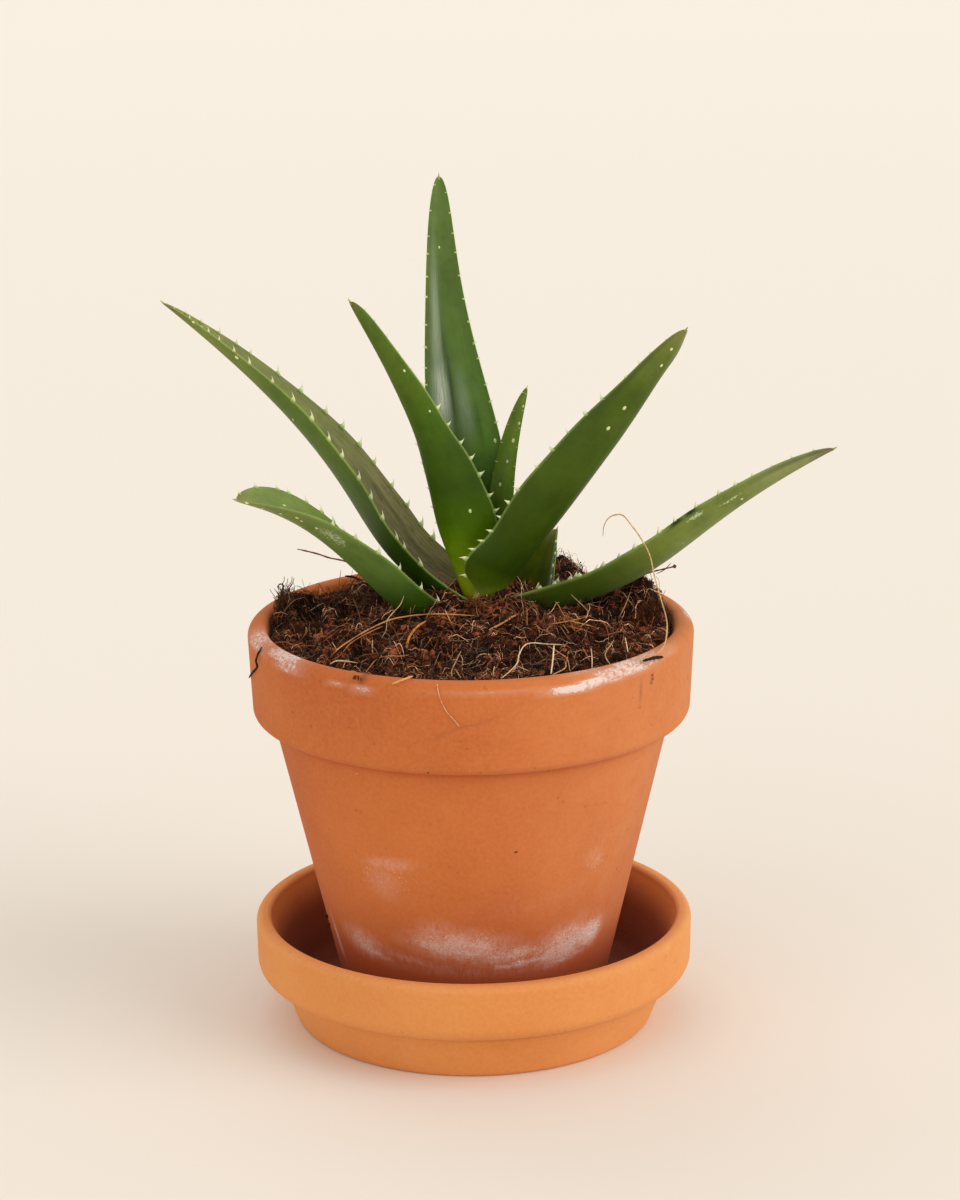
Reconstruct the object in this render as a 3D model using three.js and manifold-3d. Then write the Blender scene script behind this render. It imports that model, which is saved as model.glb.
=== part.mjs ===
// Young aloe in a terracotta pot that stands on its saucer, in millimetres, +Z up.
// X runs to the right, Y to the back. The origin is the centre of the saucer's foot, which rests at z = 0.
import * as THREE from 'three';
import { mergeVertices } from 'three/addons/utils/BufferGeometryUtils.js';
import Module from 'manifold-3d';

const wasm = await Module();
wasm.setup();

// Driving dimensions
const turns = 44; // facets round the pot, the saucer and the soil
const seatGap = 0.3; // clearance between pieces that rest on or in each other
const leafGap = 0.4; // clearance round a leaf's foot and between leaves
const sliver = 0.008; // facets thinner than this are closed up

const pot = { // floorKnees: steps out from the floor's radius and up from the floor, wall first
  height: 116.2, rimRadius: 65, bandHeight: 27.3, bandFootRadius: 64, bodyTopRadius: 58.3,
  baseRadius: 37.6, mouthRadius: 59.4, floorRadius: 32, floorThick: 8, holeRadius: 6.5,
  lipRound: 3.3, innerRound: 1.8, bandRound: 3, footRound: 1.2, floorKnees: [[1.5, 3], [-2, 0]],
};
const saucer = {
  height: 32, rimRadius: 64.7, bandHeight: 17.6, bandFootRadius: 64.5, bodyTopRadius: 58.5,
  baseRadius: 52.8, mouthRadius: 60.2, floorRadius: 48, floorThick: 4.7, holeRadius: 0,
  lipRound: 2.2, innerRound: 1.5, bandRound: 4.6, footRound: 1.2, floorKnees: [[5, 4.5], [1.5, 1], [-3, 0]],
};
const potBase = saucer.floorThick + seatGap; // height of the pot's underside
const lipTop = potBase + pot.height;

const crown = { x: 2, y: 9 }; // where the plant comes out of the soil
const soil = { // ringShares: rings of the surface, as parts of its radius
  edgeLevel: lipTop - 4, moundRise: 8, moundSpread: 26, ringShares: [1, 0.93, 0.83, 0.72, 0.6, 0.46, 0.31, 0.15],
};
const lumps = { count: 46, seed: 7, reach: 54, rise: [-1.7, 2.7], spread: [3, 6.5] };
const clumps = [ // lumps of coir that stand up at the lip and round the leaves
  { x: -51, y: 12, rise: 7, spread: 6 },
  { x: 49, y: 14, rise: 9, spread: 6 },
  { x: 27, y: 42, rise: 8, spread: 6 },
  { x: -22, y: 41, rise: 4, spread: 7 },
  { x: 10, y: 4, rise: 5, spread: 4.5 },
  { x: -9, y: 2, rise: 3, spread: 4 },
];
const strands = {
  count: 12, seed: 23, radius: 0.45, reach: 44, half: [5, 13], arch: [1.2, 3.6], curl: 0.4, buried: 1.6, edge: 53,
};
const twigs = [ // dry rootlets that stand out over the lip: a buried foot, then points in the air
  { foot: [-27, 30], path: [[-33, 30, 129], [-41, 31, 131.5], [-52, 34, 134]] },
  { foot: [44, 15], path: [[50, 14, 129.5], [56, 11, 132], [61, 8, 135]], bud: 1 },
];
const twigRadius = 0.55;
const twigDepth = 2;

const stem = { // rings: height above the foot and share of the radius
  radius: 5.5, foot: 84, rings: [[0, 0.5], [10, 0.8], [24, 1], [39, 0.8]], lowPoint: 2, highPoint: 1.5,
};
const roots = { count: 4, radius: 1.6, reach: 24, drop: 26, firstTurn: 0.4, curl: 0.5, rise: 5, stagger: 3 };

const blade = { // steps across the back and the channelled face, as parts of half the width
  backSteps: [-1, -0.64, -0.22, 0.22, 0.64, 1], faceSteps: [1, 0.4, -0.4, -1],
  marginThick: 0.7, thinWidth: 4, rootCap: 1.5, tipClosing: 11, lastRing: 0.99, crowding: 1.25,
};
const tooth = {
  length: 1.8, hook: 1.4, halfBase: 1.2, halfThick: 0.55, sunk: 0.9, spacing: 7,
  firstShare: 0.21, lastShare: 0.97, leastSize: 0.3, fullWidth: 20,
};

// Each leaf: the curve of its back rib as four control points, four widths from root to tip, the
// compass direction that its back faces, its twist at root and tip, the depth of its channel and
// its flesh, both as parts of the width, and the size of its thorns.
const leaves = {
  leaf_tall_back: {
    rib: [[1.5, 14, 119], [1.5, 18, 172], [-8.5, 24, 184], [-8, 30, 246.5]], widths: [13.5, 37, 8, 9],
    faces: 94, twist: [2, 4], channel: 0.23, flesh: 0.12, colour: '#4a6a33', rings: 12, thorns: 0.5,
  },
  leaf_left_centre: {
    rib: [[1, 6, 119], [-12, 3, 165], [-4, 0, 164], [-33.5, -3, 216]], widths: [8, 34, 7, 7.5],
    faces: -122, twist: [0, -3], channel: 0.38, flesh: 0.2, colour: '#476a26', rings: 11, thorns: 1,
  },
  leaf_left_long: {
    rib: [[-3, 10, 121], [-42.5, 16, 144], [-19.5, 28, 151.5], [-90.5, 40, 208]], widths: [19, 24, 23.5, 5.5],
    faces: 160, twist: [0, 12], channel: 0.42, flesh: 0.2, colour: '#4c6d37', rings: 14, thorns: 1,
  },
  leaf_left_low: {
    rib: [[-6, 5, 117], [-23, 1, 114.5], [-35.5, -3, 151.5], [-67, -8, 159.5]], widths: [14.5, 22, 24, 12.5],
    faces: 221, twist: [15, -29], channel: 0.31, flesh: 0.2, colour: '#55803f', rings: 13, thorns: 0.8,
  },
  leaf_right_front: {
    rib: [[2.5, 3, 118.5], [24, -3, 153], [41, -9, 173], [61.5, -16, 209.5]], widths: [9, 36, 17, 7],
    faces: -50, twist: [4, -8], channel: 0.36, flesh: 0.2, colour: '#436a2d', rings: 11, thorns: 1,
  },
  leaf_young_centre: {
    rib: [[4, 11, 120], [10.5, 12, 145], [7.5, 14, 162.5], [17, 16, 186.5]], widths: [8.5, 10, 6, 3.5],
    faces: 80, twist: [0, 0], channel: 0.2, flesh: 0.2, colour: '#4a7232', rings: 9, thorns: 0.6,
  },
  leaf_right_short: {
    rib: [[9, 15, 116], [25, 18, 118], [20.5, 22, 131.5], [26, 27, 141]], widths: [13, 17, 15, 6.5],
    faces: 45, twist: [0, 0], channel: 0.25, flesh: 0.2, colour: '#3f5e2c', rings: 8, thorns: 0.6,
  },
  leaf_right_long: {
    rib: [[6, 6, 117.5], [65, 4, 129.5], [53, 3, 142.5], [105.5, 2, 170.5]], widths: [20, 19.5, 17, 7],
    faces: -18, twist: [-7, -19], channel: 0.37, flesh: 0.2, colour: '#4b7233', rings: 14, thorns: 0.8,
  },
};
const cutOrder = [ // the leaf in front keeps its whole form, and the next is cut clear of it
  'leaf_right_front', 'leaf_left_centre', 'leaf_young_centre', 'leaf_tall_back', 'leaf_left_long',
  'leaf_left_low', 'leaf_right_long', 'leaf_right_short',
];

// Helpers
function seeded(seed) { // repeatable draws between 0 and 1
  let state = seed;
  return () => {
    state = (state * 1664525 + 1013904223) % 4294967296;
    return state / 4294967296;
  };
}

function between(range, share) {
  return range[0] + (range[1] - range[0]) * share;
}

function toSolid(geometry) {
  const bare = geometry.clone();
  bare.deleteAttribute('normal');
  bare.deleteAttribute('uv');
  const merged = mergeVertices(bare, 1e-4);
  return new wasm.Manifold(new wasm.Mesh({
    numProp: 3,
    vertProperties: new Float32Array(merged.attributes.position.array),
    triVerts: new Uint32Array(merged.index.array),
  }));
}

function toGeometry(solid) {
  const mesh = solid.getMesh();
  const geometry = new THREE.BufferGeometry();
  geometry.setAttribute('position', new THREE.BufferAttribute(mesh.vertProperties, 3));
  geometry.setIndex(new THREE.BufferAttribute(mesh.triVerts, 1));
  geometry.computeVertexNormals();
  return geometry;
}

function largestPiece(solid) { // drops slivers and the loose scraps that a cut leaves
  const pieces = solid.simplify(sliver).decompose().sort((a, b) => b.volume() - a.volume());
  return pieces[0];
}

function arcPoints(cx, cy, radius, fromDeg, toDeg, steps) {
  const points = [];
  for (let i = 0; i <= steps; i += 1) {
    const a = THREE.MathUtils.degToRad(fromDeg + ((toDeg - fromDeg) * i) / steps);
    points.push(new THREE.Vector2(cx + radius * Math.cos(a), cy + radius * Math.sin(a)));
  }
  return points;
}

function skin(rings, startPoint, endPoint) { // closed body through equal rings of points, fan at each end
  const count = rings[0].length;
  const points = [startPoint, ...rings.flat(), endPoint];
  const last = points.length - 1;
  const faces = [];
  const at = (ring, k) => 1 + ring * count + (k % count);
  for (let k = 0; k < count; k += 1) {
    faces.push(0, at(0, k + 1), at(0, k));
    for (let r = 0; r < rings.length - 1; r += 1) {
      faces.push(at(r, k), at(r, k + 1), at(r + 1, k + 1), at(r, k), at(r + 1, k + 1), at(r + 1, k));
    }
    faces.push(last, at(rings.length - 1, k), at(rings.length - 1, k + 1));
  }
  const geometry = new THREE.BufferGeometry().setFromPoints(points);
  geometry.setIndex(faces);
  return geometry;
}

// Terracotta: a tapered vessel with a thicker band at the rim, and a drain hole where it has one
function makeVessel(v, base) {
  const bandFoot = v.height - v.bandHeight;
  const start = new THREE.Vector2(v.holeRadius, 0);
  const profile = [
    start,
    new THREE.Vector2(v.baseRadius - v.footRound, 0),
    new THREE.Vector2(v.baseRadius, v.footRound),
    new THREE.Vector2(v.bodyTopRadius, bandFoot),
    ...arcPoints(v.bandFootRadius - v.bandRound, bandFoot + v.bandRound, v.bandRound, -90, 0, 3),
    ...arcPoints(v.rimRadius - v.lipRound, v.height - v.lipRound, v.lipRound, 0, 90, 3),
    ...arcPoints(v.mouthRadius + v.innerRound, v.height - v.innerRound, v.innerRound, 90, 180, 2),
    ...v.floorKnees.map(([out, up]) => new THREE.Vector2(v.floorRadius + out, v.floorThick + up)),
    new THREE.Vector2(v.holeRadius, v.floorThick),
  ];
  if (v.holeRadius > 0) profile.push(start.clone());
  const geometry = new THREE.LatheGeometry(profile, turns);
  geometry.rotateX(Math.PI / 2); // the lathe turns about Y, and the vessel stands on Z
  geometry.translate(0, 0, base);
  return toSolid(geometry);
}

// Leaves: a channelled blade, rounded on its back, drawn along the curve of its rib
function leafWidth(leaf, t) { // cubic blend of the four widths, closed off at the very tip
  const [a, b, c, d] = leaf.widths;
  const s = 1 - t;
  const blend = a * s ** 3 + 3 * b * t * s ** 2 + 3 * c * t * t * s + d * t ** 3;
  return blend * Math.sqrt(Math.max(0, 1 - t ** blade.tipClosing));
}

function leafFrame(leaf, curve, t) { // point on the rib, with its forward, side and inward directions
  const forward = curve.getTangent(t);
  const faces = THREE.MathUtils.degToRad(leaf.faces);
  const side = new THREE.Vector3(-Math.sin(faces), Math.cos(faces), 0);
  side.addScaledVector(forward, -side.dot(forward)).normalize();
  const inward = new THREE.Vector3().crossVectors(forward, side);
  const roll = THREE.MathUtils.degToRad(between(leaf.twist, t));
  return {
    origin: curve.getPoint(t),
    forward,
    side: side.clone().multiplyScalar(Math.cos(roll)).addScaledVector(inward, Math.sin(roll)),
    inward: inward.clone().multiplyScalar(Math.cos(roll)).addScaledVector(side, -Math.sin(roll)),
  };
}

function ribCurve(leaf) {
  return new THREE.CubicBezierCurve3(...leaf.rib.map((p) => new THREE.Vector3(...p)));
}

function leafBlade(leaf, grow) { // grow makes the same blade thicker all round
  const curve = ribCurve(leaf);
  const rings = [];
  for (let i = 0; i <= leaf.rings; i += 1) {
    const t = blade.lastRing * (1 - (1 - i / leaf.rings) ** blade.crowding);
    const frame = leafFrame(leaf, curve, t);
    const width = leafWidth(leaf, t);
    const rim = blade.marginThick * Math.min(1, width / blade.thinWidth);
    const flesh = Math.max(0, leaf.flesh * width - rim);
    const place = (k, lift) => frame.origin.clone()
      .addScaledVector(frame.side, k * (width / 2 + grow))
      .addScaledVector(frame.inward, leaf.channel * width * k * k + lift)
      .addScaledVector(frame.forward, i === 0 ? -grow : 0);
    rings.push([
      ...blade.backSteps.map((k) => place(k, -grow)),
      ...blade.faceSteps.map((k) => place(k, rim + flesh * (1 - k * k) + grow)),
    ]);
  }
  const foot = leafFrame(leaf, curve, 0);
  const root = foot.origin.clone()
    .addScaledVector(foot.inward, (leaf.flesh * leaf.widths[0]) / 2)
    .addScaledVector(foot.forward, -blade.rootCap - 2 * grow);
  const tip = curve.getPoint(1).addScaledVector(curve.getTangent(1), grow);
  return toSolid(skin(rings, root, tip));
}

function leafTooth(leaf, curve, t, edge, draw) { // a small hooked thorn on one edge, no two quite alike
  const frame = leafFrame(leaf, curve, t);
  const width = leafWidth(leaf, t);
  const size = leaf.thorns * Math.min(1, tooth.leastSize + width / tooth.fullWidth) * between([0.85, 1.15], draw());
  const lean = tooth.hook * size * between([0.8, 1.2], draw());
  const marginLift = leaf.channel * (width - 2 * tooth.sunk) + blade.marginThick * between([0.4, 0.6], draw());
  const root = frame.origin.clone()
    .addScaledVector(frame.side, edge * (width / 2 - tooth.sunk))
    .addScaledVector(frame.inward, marginLift);
  const point = (out, along, up) => root.clone()
    .addScaledVector(frame.side, edge * out)
    .addScaledVector(frame.forward, along)
    .addScaledVector(frame.inward, up);
  const reach = tooth.sunk + tooth.length * size;
  const corners = [
    point(0, -tooth.halfBase * size, 0),
    point(0, tooth.halfBase * size, tooth.halfThick * size),
    point(0, tooth.halfBase * size, -tooth.halfThick * size),
    point(reach, lean, reach * leaf.channel),
  ];
  const geometry = new THREE.BufferGeometry().setFromPoints(corners);
  geometry.setIndex(edge < 0 ? [0, 1, 2, 0, 3, 1, 1, 3, 2, 2, 3, 0] : [0, 2, 1, 0, 1, 3, 1, 2, 3, 2, 0, 3]);
  return toSolid(geometry);
}

function leafTeeth(leaf, neighbours) { // teeth that would touch a neighbour are left out
  const curve = ribCurve(leaf);
  const length = curve.getLength();
  const draw = seeded(Math.round(length * 100));
  const teeth = [];
  const count = Math.floor((length * (tooth.lastShare - tooth.firstShare)) / tooth.spacing);
  for (let i = 0; i < count; i += 1) {
    [-1, 1].forEach((edge) => {
      const shift = 0.3 * draw() + (edge > 0 ? 0.4 : 0);
      const t = curve.getUtoTmapping(tooth.firstShare + ((i + shift) * tooth.spacing) / length);
      const thorn = leafTooth(leaf, curve, t, edge, draw);
      if (neighbours.every((body) => thorn.intersect(body).isEmpty())) teeth.push(thorn);
    });
  }
  return teeth;
}

// Crown and roots
function tube(points, radius, sides, steps) { // round bar of equal thickness through the points
  const corners = arcPoints(0, 0, radius, 0, 360 - 360 / sides, sides - 1);
  const path = new THREE.CatmullRomCurve3(points.map((p) => new THREE.Vector3(...p)));
  return toSolid(new THREE.ExtrudeGeometry(new THREE.Shape(corners), { steps, extrudePath: path }));
}

function levelRing(x, y, z, radius, sides) {
  return arcPoints(x, y, radius, 0, 360 - 360 / sides, sides - 1)
    .map((p) => new THREE.Vector3(p.x, p.y, z));
}

function makeRoots(grow) { // roots that leave the stem's foot and run outwards and down
  return Array.from({ length: roots.count }, (_, i) => {
    const turn = (2 * Math.PI * i) / roots.count + roots.firstTurn;
    const start = stem.foot + roots.rise + roots.stagger * (i % 3);
    const points = [0, 0.35, 0.7, 1].map((s) => [
      crown.x + roots.reach * s * Math.cos(turn + roots.curl * s),
      crown.y + roots.reach * s * Math.sin(turn + roots.curl * s),
      start - roots.drop * s * s,
    ]);
    return tube(points, roots.radius + grow, 4, 4);
  });
}

function makeStem(grow) {
  const rings = stem.rings
    .map(([up, share]) => levelRing(crown.x, crown.y, stem.foot + up, stem.radius * share + grow, 10));
  const top = stem.foot + stem.rings.at(-1)[0];
  const low = new THREE.Vector3(crown.x, crown.y, stem.foot - stem.lowPoint - grow);
  const high = new THREE.Vector3(crown.x, crown.y, top + stem.highPoint + grow);
  return makeRoots(grow).reduce((body, root) => body.add(root), toSolid(skin(rings, low, high)));
}

// Coir soil: fills the pot, mounded to the crown, lumpy, with strands of fibre that lie over it
function makeSurface() { // gives the height of the soil at a place
  const draw = seeded(lumps.seed);
  const small = Array.from({ length: lumps.count }, () => {
    const far = lumps.reach * Math.sqrt(draw());
    const turn = 2 * Math.PI * draw();
    return {
      x: far * Math.cos(turn),
      y: far * Math.sin(turn),
      rise: between(lumps.rise, draw()),
      spread: between(lumps.spread, draw()),
    };
  });
  return (x, y) => {
    const far = Math.hypot(x - crown.x, y - crown.y);
    const mound = soil.moundRise * Math.exp(-0.5 * (far / soil.moundSpread) ** 2);
    return [...clumps, ...small].reduce((sum, lump) => {
      const away = Math.hypot(x - lump.x, y - lump.y) / lump.spread;
      return sum + lump.rise * Math.exp(-0.5 * away * away);
    }, soil.edgeLevel + mound);
  };
}

function makeSoil(surface) { // follows the inside of the pot with a small clearance
  const [[kneeOut, kneeUp], [floorOut]] = pot.floorKnees;
  const wallRise = pot.height - pot.innerRound - pot.floorThick - kneeUp;
  const wallSlope = (pot.mouthRadius - pot.floorRadius - kneeOut) / wallRise;
  const floor = potBase + pot.floorThick + seatGap;
  const kneeRadius = pot.floorRadius + kneeOut - seatGap;
  const topRadius = kneeRadius + wallSlope * (soil.edgeLevel - floor - kneeUp) - seatGap;
  const rings = [
    levelRing(0, 0, floor, pot.floorRadius + floorOut - seatGap, turns),
    levelRing(0, 0, floor + kneeUp, kneeRadius, turns),
  ];
  soil.ringShares.forEach((share) => {
    rings.push(levelRing(0, 0, 0, topRadius * share, turns).map((p) => p.setZ(surface(p.x, p.y))));
  });
  const middle = new THREE.Vector3(0, 0, surface(0, 0));
  return toSolid(skin(rings, new THREE.Vector3(0, 0, floor), middle));
}

function makeStrands(surface) { // arched strands with both ends in the soil
  const draw = seeded(strands.seed);
  return Array.from({ length: strands.count }, () => {
    const far = strands.reach * Math.sqrt(draw());
    const place = 2 * Math.PI * draw();
    const run = 2 * Math.PI * draw();
    const half = between(strands.half, draw());
    const arch = between(strands.arch, draw());
    const points = [-1, -0.5, 0, 0.5, 1].map((s) => {
      const x = far * Math.cos(place) + half * s * Math.cos(run + strands.curl * s);
      const y = far * Math.sin(place) + half * s * Math.sin(run + strands.curl * s);
      return [x, y, surface(x, y) + arch - (arch + strands.buried) * s * s];
    });
    return tube(points, strands.radius, 3, 4);
  }).filter((strand) => {
    const box = strand.boundingBox();
    const reach = Math.max(...box.max.slice(0, 2), ...box.min.slice(0, 2).map((v) => -v));
    return reach < strands.edge;
  });
}

function makeTwigs(surface) {
  return twigs.flatMap(({ foot: [x, y], path, bud }) => {
    const bar = tube([[x, y, surface(x, y) - twigDepth], ...path], twigRadius, 4, 6);
    return bud ? [bar, toSolid(new THREE.SphereGeometry(bud, 6, 5).translate(...path.at(-1)))] : [bar];
  });
}

// Assembly
function addPiece(group, name, solid, colour, roughness) {
  const material = new THREE.MeshStandardMaterial({ color: colour, roughness, metalness: 0 });
  const mesh = new THREE.Mesh(toGeometry(solid), material);
  mesh.name = name;
  group.add(mesh);
}

const surface = makeSurface();
const openSoil = [...makeStrands(surface), ...makeTwigs(surface)]
  .reduce((body, strand) => body.add(strand), makeSoil(surface));
const grownBlades = new Map(cutOrder.map((name) => [name, leafBlade(leaves[name], leafGap)]));

const plant = new THREE.Group();
addPiece(plant, 'saucer', makeVessel(saucer, 0), '#d88c50', 0.85);
addPiece(plant, 'pot', makeVessel(pot, potBase), '#c86c38', 0.85);

const stemBody = [...grownBlades.values()].reduce((body, blade) => body.subtract(blade), makeStem(0));
addPiece(plant, 'stem_and_roots', largestPiece(stemBody), '#a9a56a', 0.7);

cutOrder.forEach((name, i) => {
  const leaf = leaves[name];
  const inFront = cutOrder.slice(0, i).map((other) => grownBlades.get(other));
  const others = cutOrder.filter((other) => other !== name).map((other) => grownBlades.get(other));
  const ownBlade = inFront.reduce((body, other) => body.subtract(other), leafBlade(leaf, 0));
  const teeth = leafTeeth(leaf, [...others, openSoil]);
  const whole = teeth.reduce((body, thorn) => body.add(thorn), largestPiece(ownBlade));
  addPiece(plant, name, largestPiece(whole), leaf.colour, 0.45);
});

const soilBody = [makeStem(seatGap), ...grownBlades.values()]
  .reduce((body, hole) => body.subtract(hole), openSoil);
addPiece(plant, 'coir_soil', largestPiece(soilBody), '#3d2415', 0.95);

export default plant;
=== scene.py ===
import math

import bpy
import numpy as np
from mathutils import Matrix


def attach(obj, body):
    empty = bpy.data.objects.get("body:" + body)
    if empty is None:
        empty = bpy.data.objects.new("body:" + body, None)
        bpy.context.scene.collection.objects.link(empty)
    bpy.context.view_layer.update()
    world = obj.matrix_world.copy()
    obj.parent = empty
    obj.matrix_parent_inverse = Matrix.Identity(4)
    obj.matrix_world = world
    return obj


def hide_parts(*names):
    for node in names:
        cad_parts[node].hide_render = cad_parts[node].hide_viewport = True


mm = 0.001
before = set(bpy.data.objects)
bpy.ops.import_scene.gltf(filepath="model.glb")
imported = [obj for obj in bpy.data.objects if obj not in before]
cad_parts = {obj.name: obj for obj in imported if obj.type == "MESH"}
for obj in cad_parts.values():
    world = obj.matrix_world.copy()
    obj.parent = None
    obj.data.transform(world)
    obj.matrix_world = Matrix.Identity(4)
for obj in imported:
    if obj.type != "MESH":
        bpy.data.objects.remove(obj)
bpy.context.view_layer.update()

viewSettings = {
    "frameWidth": 960, "frameHeight": 1200, "focalPixels": 3500,
    "pitch": 15.658, "roll": -0.5673, "distance": 1018.73, "aimX": 2.766, "aimZ": 127.006,
    "sensor": 36, "clipEnd": 60, "sightFrom": 850, "sightTo": 1100, "sightSteps": 6000,
}
studio = {
    # floorNear and floorFar: a painted light falloff, lighter towards the back
    "floorNear": (240, 233, 224), "floorFar": (245, 240, 232), "floorRadius": 9000, "farAt": 2600,
    "worldTone": (255, 250, 241), "worldStrength": 0.745,
    "lamps": [  # name, place, width in degrees, power and tone
        ("keyLight", (760, -330, 390), 52, 1.4, (255, 252, 247)),
        ("fillLight", (-700, -760, 380), 60, 0.5, (252, 252, 255)),
        ("rimLight", (-300, 800, 900), 40, 0.25, (255, 253, 250)),
    ],
}


def paint(tone):  # 0 to 255 screen colour to the linear colour that Blender mixes with
    values = np.asarray(tone, float) / 255
    linear = np.where(values <= 0.04045, values / 12.92, ((values + 0.055) / 1.055) ** 2.4)
    return (*linear.tolist(), 1.0)


def blendTones(first, second, share):  # two screen colours mixed point by point; share is a column
    return np.array(paint(first)[:3]) * (1 - share) + np.array(paint(second)[:3]) * share


def evenTint(tone, count):  # one screen colour for every point
    return np.tile(paint(tone)[:3], (count, 1))


pitch = math.radians(viewSettings["pitch"])
roll = math.radians(viewSettings["roll"])
viewForward = np.array([0, math.cos(pitch), -math.sin(pitch)])
flatUp = np.array([0, math.sin(pitch), math.cos(pitch)])
viewRight = math.cos(roll) * np.array([1.0, 0, 0]) + math.sin(roll) * flatUp
viewUp = -math.sin(roll) * np.array([1.0, 0, 0]) + math.cos(roll) * flatUp
viewAim = np.array([viewSettings["aimX"], 0, viewSettings["aimZ"]])
viewPlace = viewAim - viewForward * viewSettings["distance"]


def toPixels(places):  # places in millimetres to photograph pixels
    away = places - viewPlace
    depth = away @ viewForward
    across = viewSettings["frameWidth"] / 2 + viewSettings["focalPixels"] * (away @ viewRight) / depth
    down = viewSettings["frameHeight"] / 2 - viewSettings["focalPixels"] * (away @ viewUp) / depth
    return np.stack([across, down], -1)


def sightLine(pixel):  # direction of the line of sight through a pixel
    across = (pixel[0] - viewSettings["frameWidth"] / 2) / viewSettings["focalPixels"]
    down = (pixel[1] - viewSettings["frameHeight"] / 2) / viewSettings["focalPixels"]
    return viewForward + across * viewRight - down * viewUp


def addCamera():
    data = bpy.data.cameras.new("photoCamera")
    data.sensor_fit = "VERTICAL"
    data.sensor_height = viewSettings["sensor"]
    data.lens = viewSettings["sensor"] * viewSettings["focalPixels"] / viewSettings["frameHeight"]
    data.clip_end = viewSettings["clipEnd"]
    camera = bpy.data.objects.new("photoCamera", data)
    turn = np.eye(4)
    turn[:3, 0], turn[:3, 1], turn[:3, 2], turn[:3, 3] = viewRight, viewUp, -viewForward, viewPlace * mm
    camera.matrix_world = Matrix(turn.tolist())
    bpy.context.scene.collection.objects.link(camera)
    bpy.context.scene.camera = camera


def addLight(name, place, wide, power, tone):  # soft light from far off, wide degrees across
    data = bpy.data.lights.new(name, "SUN")
    data.energy, data.angle, data.color = power, math.radians(wide), paint(tone)[:3]
    lamp = bpy.data.objects.new(name, data)
    lamp.matrix_world = Matrix.Translation(np.array(place) * mm) @ toTurn(-np.array(place, float))
    bpy.context.scene.collection.objects.link(lamp)


def toTurn(aim):  # rotation that points a lamp's own -Z along aim
    back = -aim / np.linalg.norm(aim)
    side = np.cross([0, 0, 1.0], back)
    side /= np.linalg.norm(side)
    turn = np.eye(4)
    turn[:3, 0], turn[:3, 1], turn[:3, 2] = side, np.cross(back, side), back
    return Matrix(turn.tolist())


addCamera()
for lampRow in studio["lamps"]:
    addLight(*lampRow)
world = bpy.data.worlds.new("studioWorld")
world.use_nodes = True
background = world.node_tree.nodes["Background"].inputs
background["Color"].default_value = paint(studio["worldTone"])
background["Strength"].default_value = studio["worldStrength"]
bpy.context.scene.world = world
bpy.context.scene.view_settings.view_transform = "Standard"
print("camera and lights are in place")


def makePiece(name, points, faceBlocks, material, attributes=None, isSmooth=True):
    # points in millimetres; a face block has a row of corner numbers for each face
    mesh = bpy.data.meshes.new(name)
    faces = [face for block in faceBlocks for face in block.tolist()]
    mesh.from_pydata((points * mm).tolist(), [], faces)
    mesh.polygons.foreach_set("use_smooth", np.full(len(mesh.polygons), isSmooth))
    for label, values in (attributes or {}).items():
        if values.ndim == 2:
            layer = mesh.attributes.new(label, "FLOAT_COLOR", "POINT")
            layer.data.foreach_set("color", np.column_stack([values, np.ones(len(values))]).ravel())
        else:
            layer = mesh.attributes.new(label, "FLOAT", "POINT")
            layer.data.foreach_set("value", values)
    mesh.materials.append(material)
    mesh.update()
    piece = bpy.data.objects.new(name, mesh)
    bpy.context.scene.collection.objects.link(piece)
    return piece


def settle(piece, slotName, *nodes):  # hands a finished piece to the frame
    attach(piece, "root")
    if nodes:
        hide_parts(*nodes)


def ringFaces(rings, sides):  # quads between rings of points that close on themselves
    r, k = np.meshgrid(np.arange(rings - 1), np.arange(sides), indexing="ij")
    after = (k + 1) % sides
    here, above = r * sides, (r + 1) * sides
    return np.stack([here + k, here + after, above + after, above + k], -1).reshape(-1, 4)


def tubeFaces(count, rings, sides, step=1):
    # walls, first ends and last ends of many closed tubes; step -1 turns every face round
    starts = (np.arange(count) * rings * sides)[:, None, None]
    k = np.arange(sides)[::step]
    return [
        (ringFaces(rings, sides)[None, :, ::step] + starts).reshape(-1, 4),
        (k[::-1] + starts[:, 0]).reshape(-1, sides),
        (k + (rings - 1) * sides + starts[:, 0]).reshape(-1, sides),
    ]


def capFaces(sides, first, centre, flip):  # fan from one ring to a single point
    k = np.arange(sides)
    after = (k + 1) % sides
    ends = (after, k) if flip else (k, after)
    return np.stack([np.full(sides, centre), first + ends[0], first + ends[1]], -1)


def closedBody(grid, startPoint, endPoint):
    # grid[ring, side] is a place; the body is closed by a fan at each end, and its faces point outwards
    # where the sides run anticlockwise as seen from the end
    rings, sides = grid.shape[:2]
    points = np.vstack([grid.reshape(-1, 3), startPoint, endPoint])
    blocks = [
        ringFaces(rings, sides),
        capFaces(sides, 0, rings * sides, True),
        capFaces(sides, (rings - 1) * sides, rings * sides + 1, False),
    ]
    return points, blocks


def unit(vectors, tiny=0.0):  # the same directions, each one long
    return vectors / (np.linalg.norm(vectors, axis=-1, keepdims=True) + tiny)


def roundAngles(count):  # angles spaced evenly once round
    return 2 * np.pi * np.arange(count) / count


def ringPlaces(radius, angle, height):  # (radius cos a, radius sin a, height)
    return np.stack(np.broadcast_arrays(radius * np.cos(angle), radius * np.sin(angle), height), -1)


def between(ends, share):  # start + (end - start) * share
    return ends[0] + (ends[1] - ends[0]) * share


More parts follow.
